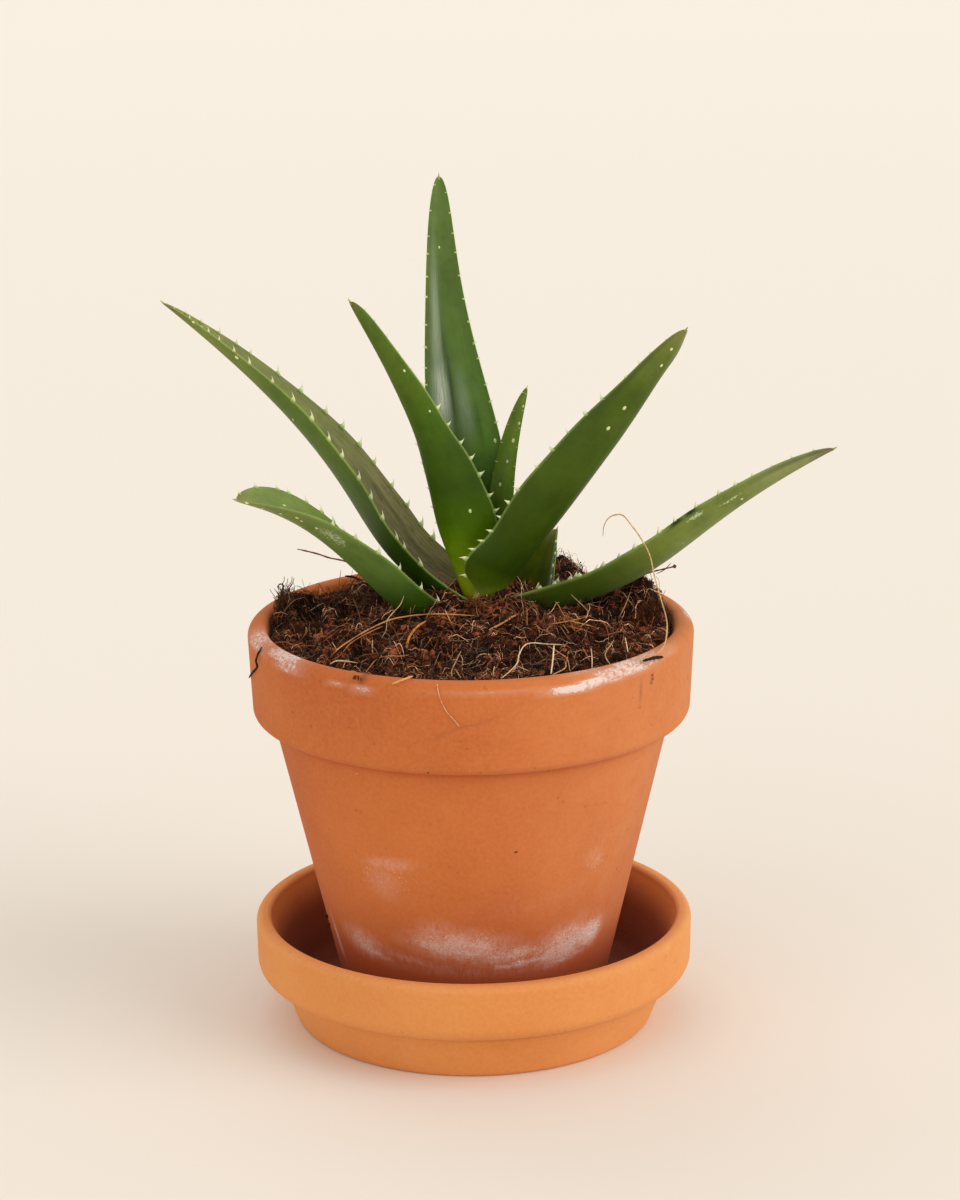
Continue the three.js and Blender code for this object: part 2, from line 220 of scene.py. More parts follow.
def manyTubes(paths, radii, sides):
    # paths[tube, step] is a place and radii[tube, step] a thickness: round bars with flat ends.
    # Each ring stands square to the path: place + radius * (sin(turn) * lift - cos(turn) * side).
    along = unit(np.gradient(paths, axis=1), 1e-9)
    isSteep = np.abs(along[..., 2:]) > 0.85
    side = unit(np.cross(along, np.where(isSteep, [[[1.0, 0, 0]]], [[[0, 0, 1.0]]])), 1e-9)
    lift = np.cross(side, along)
    turn = roundAngles(sides)[:, None]
    rings = paths[:, :, None] + radii[:, :, None, None] * (
        -np.cos(turn) * side[:, :, None] + np.sin(turn) * lift[:, :, None])
    return rings.reshape(-1, 3), tubeFaces(*paths.shape[:2], sides)


def joined(parts):  # several (points, blocks, tints) as one
    firsts = np.cumsum([0] + [len(part[0]) for part in parts])
    blocks = [block + first for part, first in zip(parts, firsts) for block in part[1]]
    return np.vstack([part[0] for part in parts]), blocks, np.vstack([part[2] for part in parts])


def smoothStep(low, high, value):  # 3 s^2 - 2 s^3 between low and high, and held beyond them
    share = np.clip((value - low) / (high - low), 0, 1)
    return share * share * (3 - 2 * share)


def softNoise(x, y, size, seed):  # smooth hills between random heights on a square net of one size
    net = 97
    heights = np.random.default_rng(seed).uniform(-1, 1, (net, net))
    u, v = x / size + net // 2, y / size + net // 2
    i, j = np.floor(u).astype(int), np.floor(v).astype(int)
    fu, fv = smoothStep(0, 1, u - i), smoothStep(0, 1, v - j)
    i0, j0, i1, j1 = i % net, j % net, (i + 1) % net, (j + 1) % net
    low = heights[i0, j0] * (1 - fu) + heights[i1, j0] * fu
    high = heights[i0, j1] * (1 - fu) + heights[i1, j1] * fu
    return low * (1 - fv) + high * fv


def newTree(name):
    material = bpy.data.materials.new(name)
    material.use_nodes = True
    material.node_tree.nodes.clear()
    return material, material.node_tree


def addNode(tree, kind, inputs=None, **settings):
    node = tree.nodes.new(kind)
    for label, value in settings.items():
        setattr(node, label, value)
    for label, value in (inputs or {}).items():
        plug(tree, node.inputs[label], value)
    return node


def plug(tree, socket, value):  # a socket is linked, anything else becomes the socket's own value
    if isinstance(value, bpy.types.NodeSocket):
        tree.links.new(value, socket)
    else:
        socket.default_value = value


def mixTones(tree, share, first, second, blend="MIX"):
    node = addNode(tree, "ShaderNodeMix", data_type="RGBA", blend_type=blend)
    plug(tree, node.inputs[0], share)
    plug(tree, node.inputs[6], first)
    plug(tree, node.inputs[7], second)
    return node.outputs[2]


def sums(tree, operation, first, second):  # any two-number sum, of sockets or plain values
    node = addNode(tree, "ShaderNodeMath", operation=operation)
    plug(tree, node.inputs[0], first)
    plug(tree, node.inputs[1], second)
    return node.outputs[0]


def times(tree, first, second):
    return sums(tree, "MULTIPLY", first, second)


def plus(tree, first, second):
    return sums(tree, "ADD", first, second)


def scaled(tree, colour, factors):  # a colour times a factor for each channel
    return mixTones(tree, 1.0, colour, (*factors, 1), "MULTIPLY")


def onObject(tree):  # the place on the piece, in metres
    return addNode(tree, "ShaderNodeTexCoord").outputs["Object"]


def spread(tree, value, low, high, toLow=0.0, toHigh=1.0):  # maps a range to another, held at its ends
    return addNode(tree, "ShaderNodeMapRange", {
        "Value": value, "From Min": low, "From Max": high, "To Min": toLow, "To Max": toHigh,
    }).outputs[0]


def noiseOn(tree, where, scale, detail=3.0, roughness=0.55):
    return addNode(tree, "ShaderNodeTexNoise", {
        "Vector": where, "Scale": scale, "Detail": detail, "Roughness": roughness,
    }).outputs["Fac"]


def stretched(tree, where, scale):  # the place with its own scale for each direction
    return addNode(tree, "ShaderNodeMapping", {"Vector": where, "Scale": scale}).outputs[0]


def attribute(tree, label, kind="Fac"):
    return addNode(tree, "ShaderNodeAttribute", attribute_name=label).outputs[kind]


def newGroup(name, inputs, outputs):  # inputs with their values, and outputs; all are plain numbers
    group = bpy.data.node_groups.new(name, "ShaderNodeTree")
    for label, value in inputs.items():
        socket = group.interface.new_socket(label, in_out="INPUT", socket_type="NodeSocketFloat")
        socket.default_value = value
    for label in outputs:
        group.interface.new_socket(label, in_out="OUTPUT", socket_type="NodeSocketFloat")
    return group, group.nodes.new("NodeGroupInput").outputs, group.nodes.new("NodeGroupOutput").inputs


def placeGroup(tree, group, inputs):
    return addNode(tree, "ShaderNodeGroup", inputs, node_tree=group)


grainSettings = {  # scales to the metre, and the distances or values between which a mask comes in
    "cloudScale": 22.0, "lineStrength": 0.5, "sandScale": 900.0, "sandHeight": 0.35,
    "speckScale": 520.0, "speckEdge": (0.16, 0.28), "rareScale": 210.0, "rareEdge": (0.62, 0.7),
    "chalkScale": 760.0, "chalkEdge": (0.12, 0.3), "lineScale": (3.0, 3.0, 330.0),
    "streakScale": (760.0, 760.0, 240.0), "brokenScale": (860.0, 860.0, 1450.0),
    "flakeScale": 1900.0, "clumpScale": 190.0,
}


def makeClayGrain():
    # fired clay: broad clouds, fine sand, dark and light specks, faint lines dragged round by the wheel,
    # and the noises that break up salt and crust
    v = grainSettings
    group, given, result = newGroup(
        "clayGrain", {"Cloud Scale": v["cloudScale"], "Line Strength": v["lineStrength"]},
        ["Cloud", "Sand", "Specks", "Chalk", "Height", "Streaks", "Flakes", "Clumps", "Broken"])
    where = onObject(group)

    def cells(scale, edge):  # round dots round scattered points
        dots = addNode(group, "ShaderNodeTexVoronoi", {"Vector": where, "Scale": scale})
        return spread(group, dots.outputs["Distance"], *edge, 1.0, 0.0)

    sand = noiseOn(group, where, v["sandScale"], 2.0)
    rare = spread(group, noiseOn(group, where, v["rareScale"], 1.0), *v["rareEdge"])
    lines = noiseOn(group, stretched(group, where, v["lineScale"]), 1.0, 3.0)
    lineHeight = times(group, sums(group, "SUBTRACT", lines, 0.5), given["Line Strength"])
    for label, value in {
        "Cloud": noiseOn(group, where, given["Cloud Scale"], 4.0),
        "Sand": sand, "Specks": times(group, cells(v["speckScale"], v["speckEdge"]), rare),
        "Chalk": cells(v["chalkScale"], v["chalkEdge"]),
        "Height": plus(group, times(group, sand, v["sandHeight"]), lineHeight),
        "Streaks": noiseOn(group, stretched(group, where, v["streakScale"]), 1.0, 4.0, 0.7),
        "Flakes": noiseOn(group, where, v["flakeScale"], 4.0, 0.75),
        "Clumps": noiseOn(group, where, v["clumpScale"], 3.0, 0.6),
        "Broken": noiseOn(group, stretched(group, where, v["brokenScale"]), 1.0, 5.0, 0.8),
    }.items():
        plug(group, result[label], value)
    return group


def makeLongFibres():  # thin lines that run along a leaf, from its own along and across values
    group, given, result = newGroup(
        "longFibres", {"Across Scale": 30.0, "Along Scale": 3.0}, ["Lines", "Fine"])
    where = addNode(group, "ShaderNodeCombineXYZ", {
        "X": times(group, attribute(group, "across"), given["Across Scale"]),
        "Y": times(group, attribute(group, "along"), given["Along Scale"]),
        "Z": attribute(group, "inside"),
    }).outputs[0]
    plug(group, result["Lines"], noiseOn(group, where, 1.0, 2.0))
    plug(group, result["Fine"], noiseOn(group, where, 3.4, 3.0))
    return group


def finishMaterial(tree, shaderInputs, height, bumpDistance, bumpStrength):
    bump = addNode(tree, "ShaderNodeBump", {
        "Height": height, "Distance": bumpDistance * mm, "Strength": bumpStrength,
    })
    shader = addNode(tree, "ShaderNodeBsdfPrincipled", {**shaderInputs, "Normal": bump.outputs[0]})
    addNode(tree, "ShaderNodeOutputMaterial", {"Surface": shader.outputs[0]})


clayGrain = makeClayGrain()
longFibres = makeLongFibres()


clayRanges = {  # low and high end of a noise or mask, and what they become where that isn't 0 and 1
    "cloud": (0.35, 0.68), "sand": (0.3, 0.75, 0.0, 0.2), "paintedLitSide": (0.3, 0.7, 0.16, 0.34),
    "damp": (0.25, 1.2), "salt": (0.34, 0.6, 0.8, 1.12), "haze": (0.05, 1.0, 0.0, 0.66),
    "streaks": (0.38, 0.6, 0.24, 1.0), "grains": (1.4, 1.84), "crust": (0.6, 0.9),
    "rough": (0.0, 1.0, 0.9, 0.74),
}
clayShares = {  # how strongly one layer counts in the next
    "cloudInDamp": 0.4, "flakesInGrains": 1.9, "grains": 0.8, "dots": 0.7, "veil": 0.42,
    "brokenInCrust": 2.6, "crust": 0.84, "speckDepth": 0.3, "crustHeight": 0.4,
}
clayFinish = {
    "Specular IOR Level": 0.3, "Sheen Weight": 0.03, "Sheen Roughness": 0.6,
    "Sheen Tint": paint((255, 244, 226)),
}


def makeClay(name, tones):
    # tones: fired colour light and dark, sand, the paler tone of the painted light on the lit side, damp,
    # specks, salt, crust, and the dark tone of stains and painted shade. The mesh carries the masks of the
    # painted lit side, damp with painted shade in creases, salt, crust, dots, and stains with painted
    # shade; the grain breaks them up.
    material, tree = newTree(name)
    grain = placeGroup(tree, clayGrain, {
        "Cloud Scale": tones["cloudScale"], "Line Strength": tones["lineStrength"],
    }).outputs

    def ranged(value, label):
        return spread(tree, value, *clayRanges[label])

    def part(value, label):
        return times(tree, value, clayShares[label])

    # painted light: paler clay on the side towards the key light, broken up by clumps
    paintedLitSide = times(tree, attribute(tree, "paintedLitSide"), ranged(grain["Clumps"], "paintedLitSide"))
    # the damp mask also carries painted shade in the creases under the bands
    damp = ranged(plus(tree, attribute(tree, "damp"), part(grain["Cloud"], "cloudInDamp")), "damp")
    salt = times(tree, attribute(tree, "salt"), ranged(grain["Clumps"], "salt"))
    bloom = times(tree, ranged(salt, "haze"), ranged(grain["Streaks"], "streaks"))
    grains = ranged(plus(tree, salt, part(grain["Flakes"], "flakesInGrains")), "grains")
    dots = times(tree, grain["Chalk"], attribute(tree, "dots"))
    for layer in (part(grains, "grains"), part(dots, "dots"), part(attribute(tree, "crust"), "veil")):
        bloom = sums(tree, "MAXIMUM", bloom, layer)
    broken = part(sums(tree, "SUBTRACT", grain["Broken"], 0.5), "brokenInCrust")
    crust = ranged(plus(tree, attribute(tree, "crust"), broken), "crust")
    colour = mixTones(tree, ranged(grain["Cloud"], "cloud"), paint(tones["light"]), paint(tones["dark"]))
    for label, mask in {
        "sand": ranged(grain["Sand"], "sand"), "paintedLitSide": paintedLitSide, "damp": damp,
        "speck": times(tree, grain["Specks"], tones["speckShare"]),
        "salt": times(tree, bloom, tones["saltShare"]),
        # stainAndShade: real brown stains on the rim and painted shade deeper inside
        "crust": part(crust, "crust"), "stainAndShade": attribute(tree, "stainAndShade"),
    }.items():
        colour = mixTones(tree, mask, colour, paint(tones[label]))
    rough = ranged(attribute(tree, "damp"), "rough")
    pitted = sums(tree, "SUBTRACT", grain["Height"], part(grain["Specks"], "speckDepth"))
    height = plus(tree, pitted, part(crust, "crustHeight"))
    finishMaterial(tree, {"Base Color": colour, "Roughness": rough, **clayFinish}, height,
                   bumpDistance=0.4, bumpStrength=0.45)
    return material


potSettings = {
    "base": 5.0, "height": 116.2, "rimRadius": 65, "bandHeight": 27.3, "bandFootRadius": 64,
    "bodyTopRadius": 58.3,
    "baseRadius": 37.6, "mouthRadius": 59.4, "floorRadius": 32, "floorThick": 8, "holeRadius": 6.5,
    "lipRound": 3.3, "innerRound": 1.8, "bandRound": 3, "footRound": 1.2, "floorKnees": [(1.5, 3), (-2, 0)],
    # creaseSoft sets the width of the painted shade in the crease under the band
    "turns": 320, "step": 1.15, "creaseSoft": 2.2, "innerDamp": (2.0, 9.0, 0.4),
    # innerShade: painted shade that darkens the wall deeper inside, past the lip
    # litSideUntil: how far past the lip the painted light on the lit side reaches
    "innerShade": (6.0, 10.0, 0.25), "litSideUntil": 8, "chalkOfSalt": 0.2, "chalkOfDots": 0.5,
    "barEdges": (0.6, 0.8),
    "tones": {
        "light": (201, 111, 53), "dark": (183, 92, 42), "sand": (222, 146, 90), "damp": (184, 80, 40),
        "speck": (96, 48, 28), "salt": (232, 200, 188), "crust": (233, 215, 210),
        # paintedLitSide is the paler tone of the painted light on the lit side
        # stainAndShade is the dark tone of the rim stains and of the painted shade inside
        "paintedLitSide": (214, 152, 104), "stainAndShade": (70, 36, 22), "saltShare": 0.88, "cloudScale": 16.0,
        "speckShare": 0.3, "lineStrength": 0.55,
    },
    "saltPatches": [  # pixel, half width and half height, rise to the right in degrees, strength
        (338, 936, 1.4, 8, 12, 0.8), (364, 942, 9, 4.6, -10, 0.7), (370, 949, 9, 1.2, -14, 0.85),
        (464, 947, 17, 5.6, -5, 0.76), (436, 936, 7, 5.4, 0, 0.5), (452, 950, 15, 2.2, -9, 0.85),
        (506, 955, 13, 3.6, 4, 0.72), (566, 943, 13, 6.4, 16, 0.85), (590, 932, 6, 5, 24, 1.0),
        (524, 963, 11, 0.9, 4, 0.95), (566, 958, 10, 1.0, 10, 0.8), (480, 971, 34, 2.6, 0, 0.3),
        (412, 960, 13, 1.4, -10, 0.45), (390, 864, 9, 2.2, 6, 0.46), (384, 880, 7, 5, 0, 0.3),
        (594, 858, 4, 3.4, 0, 0.3), (520, 905, 30, 5, 6, 0.1),
    ],
    "crustPatches": [  # the same for the flaked crust in the veil
        (576, 938, 9, 4.6, 16, 0.66), (592, 930, 5, 3.8, 22, 0.78), (524, 962, 9, 0.9, 4, 0.7),
        (562, 957, 9, 0.9, 10, 0.6), (456, 950, 14, 3.2, -7, 0.52), (364, 944, 7, 2.4, -12, 0.48),
        (496, 954, 14, 3.0, 2, 0.46), (384, 884, 5, 5, 0, 0.34), (388, 864, 7, 1.4, 6, 0.36),
    ],
    "stainPatches": [  # brown stains on the rim: pixel, half width and height, strength
        (641, 692, 0.7, 3.6, 0.3), (652, 679, 0.7, 1.6, 0.5), (361, 680, 0.9, 1.8, 0.5),
        (259, 655, 1.6, 2.4, 0.4),
    ],
    "farPatches": [  # the same out of sight: angle from the front and height instead of a pixel
        (105, 16, 14, 4, 6, 0.7), (140, 13, 20, 5, -4, 0.8), (176, 20, 14, 6, 3, 0.5),
        (215, 14, 22, 4, 5, 0.75), (255, 17, 12, 5, -8, 0.6), (195, 60, 10, 3, 8, 0.3),
        (130, 52, 7, 5, 0, 0.25), (180, 9, 60, 2, 0, 0.4),
    ],
    "farLip": [  # angle from the front, half width, start and end across the lip, strength
        (96, 7, -2.4, 2.2, 0.7), (150, 12, -0.8, 2.6, 0.9), (168, 6, -3.4, 1.0, 0.6),
        (232, 9, -1.0, 3.2, 0.8),
    ],
    "dotPatches": [(384, 876, 9, 6), (594, 862, 5, 4)],
    "lipPatches": [  # pixel beside the lip, half width, start and end across it, strength
        (573, 690, 7.6, 2.2, 4.6, 1.2), (594, 684, 6, 1.0, 3.9, 1.0), (612, 680, 7, -1.8, 3.9, 0.78),
        (634, 674, 9, -4.0, 3.2, 0.8), (652, 668, 7, -4.2, 2.2, 0.7), (592, 672, 9, -4.4, -1.6, 0.58),
        (548, 693, 4, 2.6, 4.4, 0.42), (278, 656, 10, -4.4, 1.2, 0.84), (286, 666, 7, 0.2, 3.8, 0.68),
        (257, 638, 11, -4.8, 2.8, 0.7), (336, 685, 3.2, 2.2, 3.6, 0.62), (361, 689, 3.6, 2.0, 4.4, 0.68),
        (500, 696, 20, 1.6, 3.2, 0.34), (668, 655, 8, -3.0, 2.0, 0.4),
    ],
    "dampLines": [((480, 895), 16, 0.28), ((480, 960), 5, 0.44)],  # pixel at the top, softness, strength
}
saucerSettings = {
    "base": 0.0, "height": 32, "rimRadius": 64.7, "bandHeight": 17.6, "bandFootRadius": 64.5,
    "bodyTopRadius": 58.5,
    "baseRadius": 52.8, "mouthRadius": 60.2, "floorRadius": 48, "floorThick": 4.7, "holeRadius": 0,
    "lipRound": 2.2, "innerRound": 1.5, "bandRound": 4.6, "footRound": 1.2,
    "floorKnees": [(5, 4.5), (1.5, 1), (-3, 0)], "underStart": 2.0,
    # creaseSoft and creaseShade set the width and strength of the painted shade in the crease under the
    # band
    "turns": 288, "step": 1.1, "creaseSoft": 0.9, "innerDamp": (1.0, 14.0, 1.0),
    # innerShade: painted shade that darkens the saucer deeper inside, past the lip
    "innerShade": (10.0, 30.0, 0.25), "litSideUntil": 2, "creaseShade": 0.4, "rimSalt": 0.25, "rimSoft": 1.6,
    "chalk": 0.1,
    "tones": {
        "light": (224, 148, 80), "dark": (212, 128, 62), "sand": (236, 172, 114), "damp": (138, 66, 36),
        "speck": (130, 72, 40), "salt": (236, 206, 176), "crust": (236, 206, 176),
        # paintedLitSide is the paler tone of the painted light on the lit side
        # stainAndShade is the dark tone of the painted shade inside
        "paintedLitSide": (232, 172, 112), "stainAndShade": (84, 44, 28), "saltShare": 0.4, "cloudScale": 12.0,
        "speckShare": 0.16, "lineStrength": 0.35,
    },
}


def arc(cx, cy, radius, fromDeg, toDeg, steps):
    turn = np.radians(np.linspace(fromDeg, toDeg, steps + 1))
    return np.stack([cx + radius * np.cos(turn), cy + radius * np.sin(turn)], -1)


def roundKnee(before, knee, after, cut, steps=5):  # a corner eased by a curve that starts cut away from it
    toBefore, toAfter = np.subtract(before, knee), np.subtract(after, knee)
    start = knee + toBefore * cut / np.linalg.norm(toBefore)
    stop = knee + toAfter * cut / np.linalg.norm(toAfter)
    s = np.linspace(0, 1, steps)[:, None]
    return (1 - s) ** 2 * start + 2 * s * (1 - s) * np.asarray(knee, float) + s * s * stop


def vesselProfile(v):
    # outline of the wall as radius and height: up the outside, over the lip, down inside, in on the floor
    bandFoot = v["height"] - v["bandHeight"]
    foot = (v["baseRadius"], 0)
    crease = (v["bodyTopRadius"], bandFoot)
    innerTop = (v["mouthRadius"], v["height"] - v["innerRound"])
    knees = [(v["floorRadius"] + out, v["floorThick"] + up) for out, up in v["floorKnees"]]
    innerEnd = (v["holeRadius"], v["floorThick"])
    stops = [innerTop, *knees, innerEnd]
    inner = [roundKnee(stops[i - 1], stops[i], stops[i + 1], 1.4) for i in range(1, len(stops) - 1)]
    return np.vstack([
        roundKnee((v["holeRadius"], 0), foot, crease, v["footRound"]),
        [crease],
        arc(v["bandFootRadius"] - v["bandRound"], bandFoot + v["bandRound"], v["bandRound"], -88, 0, 9),
        arc(v["rimRadius"] - v["lipRound"], v["height"] - v["lipRound"], v["lipRound"], 0, 90, 10),
        arc(v["mouthRadius"] + v["innerRound"], v["height"] - v["innerRound"], v["innerRound"], 90, 180, 7),
        *inner,
        [innerEnd],
    ])


def finelyCut(profile, step):  # adds points so that none lie further apart than step
    gaps = np.linalg.norm(np.diff(profile, axis=0), axis=1)
    counts = np.maximum(1, np.ceil(gaps / step)).astype(int)
    pieces = [np.linspace(a, b, n, endpoint=False) for a, b, n in zip(profile[:-1], profile[1:], counts)]
    return np.vstack([*pieces, profile[-1:]])


def pastLip(v, points):
    # how far each ring's outline lies beyond the highest point of the lip, along the wall; 0 outside
    sides = v["turns"]
    ring = points[::sides][:len(points) // sides]
    radius, height = np.hypot(ring[:, 0], ring[:, 1]), ring[:, 2]
    path = np.concatenate([[0], np.cumsum(np.hypot(np.diff(radius), np.diff(height)))])
    top = np.flatnonzero(height > v["base"] + v["height"] - 0.01)[-1]
    beyond = np.where(np.arange(len(ring)) > top, path - path[top], 0.0)
    beyond = np.where(height < v["base"] + v["floorThick"] - 0.3, 0.0, beyond)
    return np.concatenate([np.repeat(beyond, sides), np.zeros(len(points) - len(ring) * sides)])


def turned(outline, angle, base):  # radius and height turned round Z: (r sin a, -r cos a, base + h)
    r, h = outline[:, :1], outline[:, 1:] + base
    return np.stack(np.broadcast_arrays(r * np.sin(angle), -r * np.cos(angle), h), -1)


def vesselBody(v):  # the turned profile, closed; a is 0 at the front and grows to the right
    profile = finelyCut(vesselProfile(v), v["step"])
    angle = roundAngles(v["turns"])
    if v["holeRadius"] > 0:  # the hole's wall joins the floor to the underside, and the last ring the first
        ends = np.array([[v["holeRadius"], v["floorThick"]], [v["holeRadius"], 0.0]])
        under = finelyCut(np.array([ends[1], profile[0]]), v["step"])[:-1]
        grid = turned(np.vstack([profile, finelyCut(ends, v["step"])[1:-1], under]), angle, v["base"])
        points = grid.reshape(-1, 3)
        return points, [ringFaces(len(grid) + 1, v["turns"]) % len(points)]
    under = finelyCut(np.array([[v["underStart"], 0.0], profile[0]]), v["step"] * 4)[:-1]
    grid = turned(np.vstack([under, profile[:-1]]), angle, v["base"])
    return closedBody(grid, [0, 0, v["base"]], [0, 0, v["base"] + v["floorThick"]])


def wallRadius(height):  # outer radius of the pot: the band's, or the straight taper below it
    v = potSettings
    bandFoot = v["base"] + v["height"] - v["bandHeight"]
    widening = (v["bodyTopRadius"] - v["baseRadius"]) * (height - v["base"]) / (bandFoot - v["base"])
    return np.where(height > bandFoot, v["rimRadius"], v["baseRadius"] + widening)


def hitPot(pixel):  # the first place on the sight line that is within the wall and below the lip's top
    far = np.linspace(viewSettings["sightFrom"], viewSettings["sightTo"], viewSettings["sightSteps"])
    places = viewPlace + far[:, None] * sightLine(pixel)
    isWithin = np.hypot(places[:, 0], places[:, 1]) <= wallRadius(places[:, 2])
    return places[np.argmax(isWithin & (places[:, 2] <= potSettings["base"] + potSettings["height"]))]


def onPot(pixel):  # angle and height of the pot's outside under a pixel
    hit = hitPot(pixel)
    return math.atan2(hit[0], -hit[1]), hit[2]


def angleFrom(points, angle):  # the turn from an angle to each point's own, between -pi and pi
    away = np.arctan2(points[:, 0], -points[:, 1]) - angle
    return (away + np.pi) % (2 * np.pi) - np.pi


def patch(points, spot, halfWide, halfHigh, rise=0.0):
    # soft oval round a spot (angle, height) of the pot's outside: exp(-(u^2/w^2 + v^2/h^2)^1.5), with u
    # along and v across a direction that may rise
    around = angleFrom(points, spot[0]) * np.hypot(points[:, 0], points[:, 1])
    up, turn = points[:, 2] - spot[1], math.radians(rise)
    along = around * math.cos(turn) + up * math.sin(turn)
    beside = up * math.cos(turn) - around * math.sin(turn)
    return np.exp(-((along / halfWide) ** 2 + (beside / halfHigh) ** 2) ** 1.5)


def lipPatch(points, angle, halfWide, start, stop):
    # soft bar on the lip; across counts down the outside from the outer edge, and is negative on its top
    v = potSettings
    soft, softer = v["barEdges"]
    around = angleFrom(points, angle) * v["rimRadius"]
    radius = np.hypot(points[:, 0], points[:, 1])
    across = (v["base"] + v["height"] - points[:, 2]) - (v["rimRadius"] - radius)
    isLip = radius > v["mouthRadius"] - 0.2
    bar = smoothStep(start - soft, start + soft, across) * smoothStep(stop + softer, stop - softer, across)
    return isLip * bar * np.exp(-np.abs(around / halfWide) ** 3)


def innerMask(ends, beyond):  # grows to a strength between two distances past the lip
    low, high, strength = ends
    return smoothStep(low, high, beyond) * strength


def strongest(layers):  # the greatest of several masks, and no less than 0
    return np.max([np.zeros(len(layers[0])), *layers], axis=0)


def finishVessel(node, v, points, blocks, masks):
    clay = makeClay(f"{node}Clay", v["tones"])
    settle(makePiece(f"{node}Shell", points, blocks, clay, masks), f"{node}_clay", node)


def litSideShare(points):  # painted light: the side towards +X, where the key light stands, is painted paler; it grows with the sine of the angle
    return smoothStep(-0.1, 1.0, points[:, 0] / (np.hypot(points[:, 0], points[:, 1]) + 1e-9))


def makePot():
    v = potSettings
    points, blocks = vesselBody(v)
    height = points[:, 2]
    beyond = pastLip(v, points)
    isOutside = beyond == 0
    ovals = [(onPot(row[:2]), *row[2:]) for row in v["saltPatches"]]
    ovals += [((math.radians(row[0]), row[1]), *row[2:]) for row in v["farPatches"]]
    salt = strongest([row[-1] * patch(points, *row[:-1]) * isOutside for row in ovals])
    bars = [(onPot(row[:2])[0], *row[2:]) for row in v["lipPatches"]]
    bars += [(math.radians(row[0]), *row[1:]) for row in v["farLip"]]
    flaked = [row[-1] * patch(points, onPot(row[:2]), *row[2:-1]) * isOutside for row in v["crustPatches"]]
    crust = strongest(flaked + [row[-1] * lipPatch(points, *row[:-1]) for row in bars])
    damp = np.zeros(len(points))
    for pixel, soft, strength in v["dampLines"]:
        top = onPot(pixel)[1]
        damp = damp + strength * smoothStep(top + soft, top - soft, height)
    # painted shade: the clay is darkened in the crease just under the band, through the damp mask
    underBand = v["base"] + v["height"] - v["bandHeight"] - height
    damp = damp + np.exp(-(underBand / v["creaseSoft"]) ** 2) * (underBand > -0.1)
    stains = [row[-1] * patch(points, onPot(row[:2]), *row[2:-1]) for row in v["stainPatches"]]
    chalk = sum(patch(points, onPot(row[:2]), *row[2:]) for row in v["dotPatches"])
    finishVessel("pot", v, points, blocks, {
        "salt": salt, "crust": crust, "dots": v["chalkOfSalt"] * salt + v["chalkOfDots"] * chalk,
        "damp": np.maximum(damp * isOutside, innerMask(v["innerDamp"], beyond)),
        # painted shade deeper inside the pot, together with the real brown stains on the rim
        "stainAndShade": strongest([innerMask(v["innerShade"], beyond), *[stain * (beyond < 1) for stain in stains]]),
        # painted light on the side towards the key light
        "paintedLitSide": litSideShare(points) * (beyond < v["litSideUntil"]),
    })


def makeSaucer():
    v = saucerSettings
    points, blocks = vesselBody(v)
    radius, height = np.hypot(points[:, 0], points[:, 1]), points[:, 2]
    beyond = pastLip(v, points)
    # painted shade: darker clay in the crease under the saucer's band, through the damp mask
    underBand = height - (v["height"] - v["bandHeight"])
    crease = np.exp(-(underBand / v["creaseSoft"]) ** 2) * (radius < v["bodyTopRadius"] + 4)
    finishVessel("saucer", v, points, blocks, {
        "salt": v["rimSalt"] * np.exp(-((height - v["height"] + 1) / v["rimSoft"]) ** 2),
        "damp": np.maximum(innerMask(v["innerDamp"], beyond), v["creaseShade"] * crease),
        # painted shade deeper inside the saucer
        "stainAndShade": innerMask(v["innerShade"], beyond), "dots": np.full(len(points), v["chalk"]),
        # painted light on the side towards the key light
        "paintedLitSide": litSideShare(points) * (beyond < v["litSideUntil"]),
    })


makePot()
makeSaucer()
print("terracotta is made")

bladeSettings = {
    "marginThick": 0.7, "thinWidth": 4, "tipClosing": 11, "rootCap": 1.5, "rings": 150, "sides": 56,
    "crowding": 1.2, "ripple": 0.16, "rippleTurn": 23, "rippleWidth": 8, "marginTone": (160, 184, 104),
    "cloudShare": 0.07, "lastRing": 0.997,
}
toothSettings = {
    "length": 1.8, "hook": 1.9, "halfBase": 1.25, "halfThick": 0.5, "sunk": 0.8, "rise": 3.4,
    "firstShare": 0.14, "lastShare": 0.975, "leastSize": 0.3, "fullWidth": 20, "rings": 8, "sides": 6,
    "sizes": (0.85, 1.15), "leans": (0.8, 1.2), "shake": 0.2, "clear": 0.7, "bluntness": 0.03,
    "rootTone": (140, 168, 86), "tipTone": (226, 232, 194),
}
spotSettings = {
    "radius": 0.42, "stretch": 1.5, "rise": 0.22, "sides": 8, "sizes": (0.7, 1.25), "tone": (212, 224, 164),
    "levels": [(1.0, -0.12), (0.8, 0.55), (0.4, 0.92)],  # share of the radius and of the rise
}
tipSettings = {
    "start": 0.994, "length": 1.0, "radius": 0.42, "fullWidth": 7, "steps": 8, "sides": 6,
    "tone": (160, 152, 104),
}
